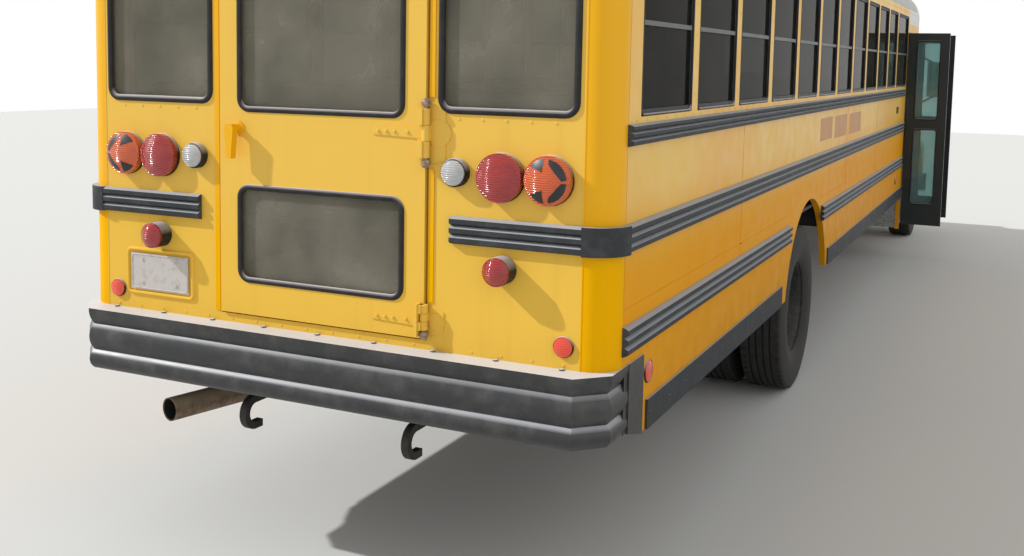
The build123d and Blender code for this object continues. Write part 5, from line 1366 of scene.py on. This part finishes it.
def roof_height(x, y):
    hit = ROOF.ray_cast(Vector((x, y, 4.0)), Vector((0, 0, -1)))
    return hit[0].z if hit[0] else None


roof_x = [-ROOF_HALF + 2 * ROOF_HALF * step / ROOF_STEPS for step in range(ROOF_STEPS + 1)]
seams = []
for index in range(-1, 12):
    y = y_at(FIRST_POST + POST / 2 + PITCH * index) if index >= 0 else y_at(0.30)
    heights = [(x, roof_height(x, y)) for x in roof_x]
    points = [(x, z) for x, z in heights if z]
    shape, faces = [], []
    for x, z in points:
        top = min(z + 0.004, ROOF_TOP - 0.0002)
        foot = z - 0.004
        for dy, height in ((-BAND_FOOT, foot), (-BAND_CREST, top), (BAND_CREST, top), (BAND_FOOT, foot)):
            shape.append((x, y + dy, height))
    for k in range(len(points) - 1):
        for j in range(4):
            faces.append((4 * k + j, 4 * k + 4 + j, 4 * k + 4 + (j + 1) % 4, 4 * k + (j + 1) % 4))
    last = 4 * (len(points) - 1)
    faces += [(0, 1, 2, 3), (last, last + 1, last + 2, last + 3)]
    seams.append((shape, faces))
build("roof_seams", seams, WHITE, "coach")
print("roof seams:", len(seams))

# %% [markdown]
# ## Floor and light
# The sun stands behind the bus on the driver's side, high and grazing the rear face, so the door side is
# in shade. A wide, soft fill lifts that side, as open sky would. The sky is plain white where the
# camera, a gloss or a glass sees it; the light that it gives to everything else is dimmer.

# %% Floor and light
def make_floor(size=60.0):
    mesh = bpy.data.meshes.new("floor")
    half = size / 2
    corners = [(-half, -half, 0), (half, -half, 0), (half, half, 0), (-half, half, 0)]
    mesh.from_pydata(corners, [], [(0, 1, 2, 3)])
    floor = bpy.data.objects.new("floor", mesh)
    bpy.context.scene.collection.objects.link(floor)
    material = new_finish("pale_floor", {"Base Color": linear("#D2D2CF"), "Roughness": 0.9})[0]
    mesh.materials.append(material)
    floor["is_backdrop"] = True
    return floor


def make_sun(name, toward, strength, soft_degrees):
    light = bpy.data.lights.new(name, "SUN")
    light.energy = strength
    light.angle = math.radians(soft_degrees)
    sun = bpy.data.objects.new(name, light)
    sun.rotation_euler = Vector(toward).to_track_quat("-Z", "Y").to_euler()
    bpy.context.scene.collection.objects.link(sun)
    return sun


SUN_TOWARD, FILL_TOWARD, SKY_LIGHT = (-0.77, -0.31, -0.61), (0.85, -0.25, -0.35), 0.62
make_floor()
make_sun("key_light", SUN_TOWARD, 3.0, 1.0)
make_sun("fill_light", FILL_TOWARD, 0.45, 70.0)
world = bpy.data.worlds.new("sky")
world.use_nodes = True
bpy.context.scene.world = world
sky = world.node_tree
ray = add(sky, "ShaderNodeLightPath").outputs
seen = add(sky, MATHS, (ray["Is Camera Ray"], ray["Is Glossy Ray"]), operation="MAXIMUM")
seen = add(sky, MATHS, (seen, ray["Is Transmission Ray"]), operation="MAXIMUM")
strength = add(sky, RANGE, (seen, 0.0, 1.0, SKY_LIGHT, 1.0))
feed(sky, sky.nodes["Background"], {"Color": (1.0, 1.0, 1.0, 1.0), "Strength": strength})
bpy.context.scene.view_settings.view_transform = "Standard"
print("lights set")

# %% Sizes for the size rule, and the end
low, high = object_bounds()
print("CAD", [round(v, 3) for v in (*CAD_LOW, *CAD_HIGH)], "visual", [round(v, 3) for v in (*low, *high)])
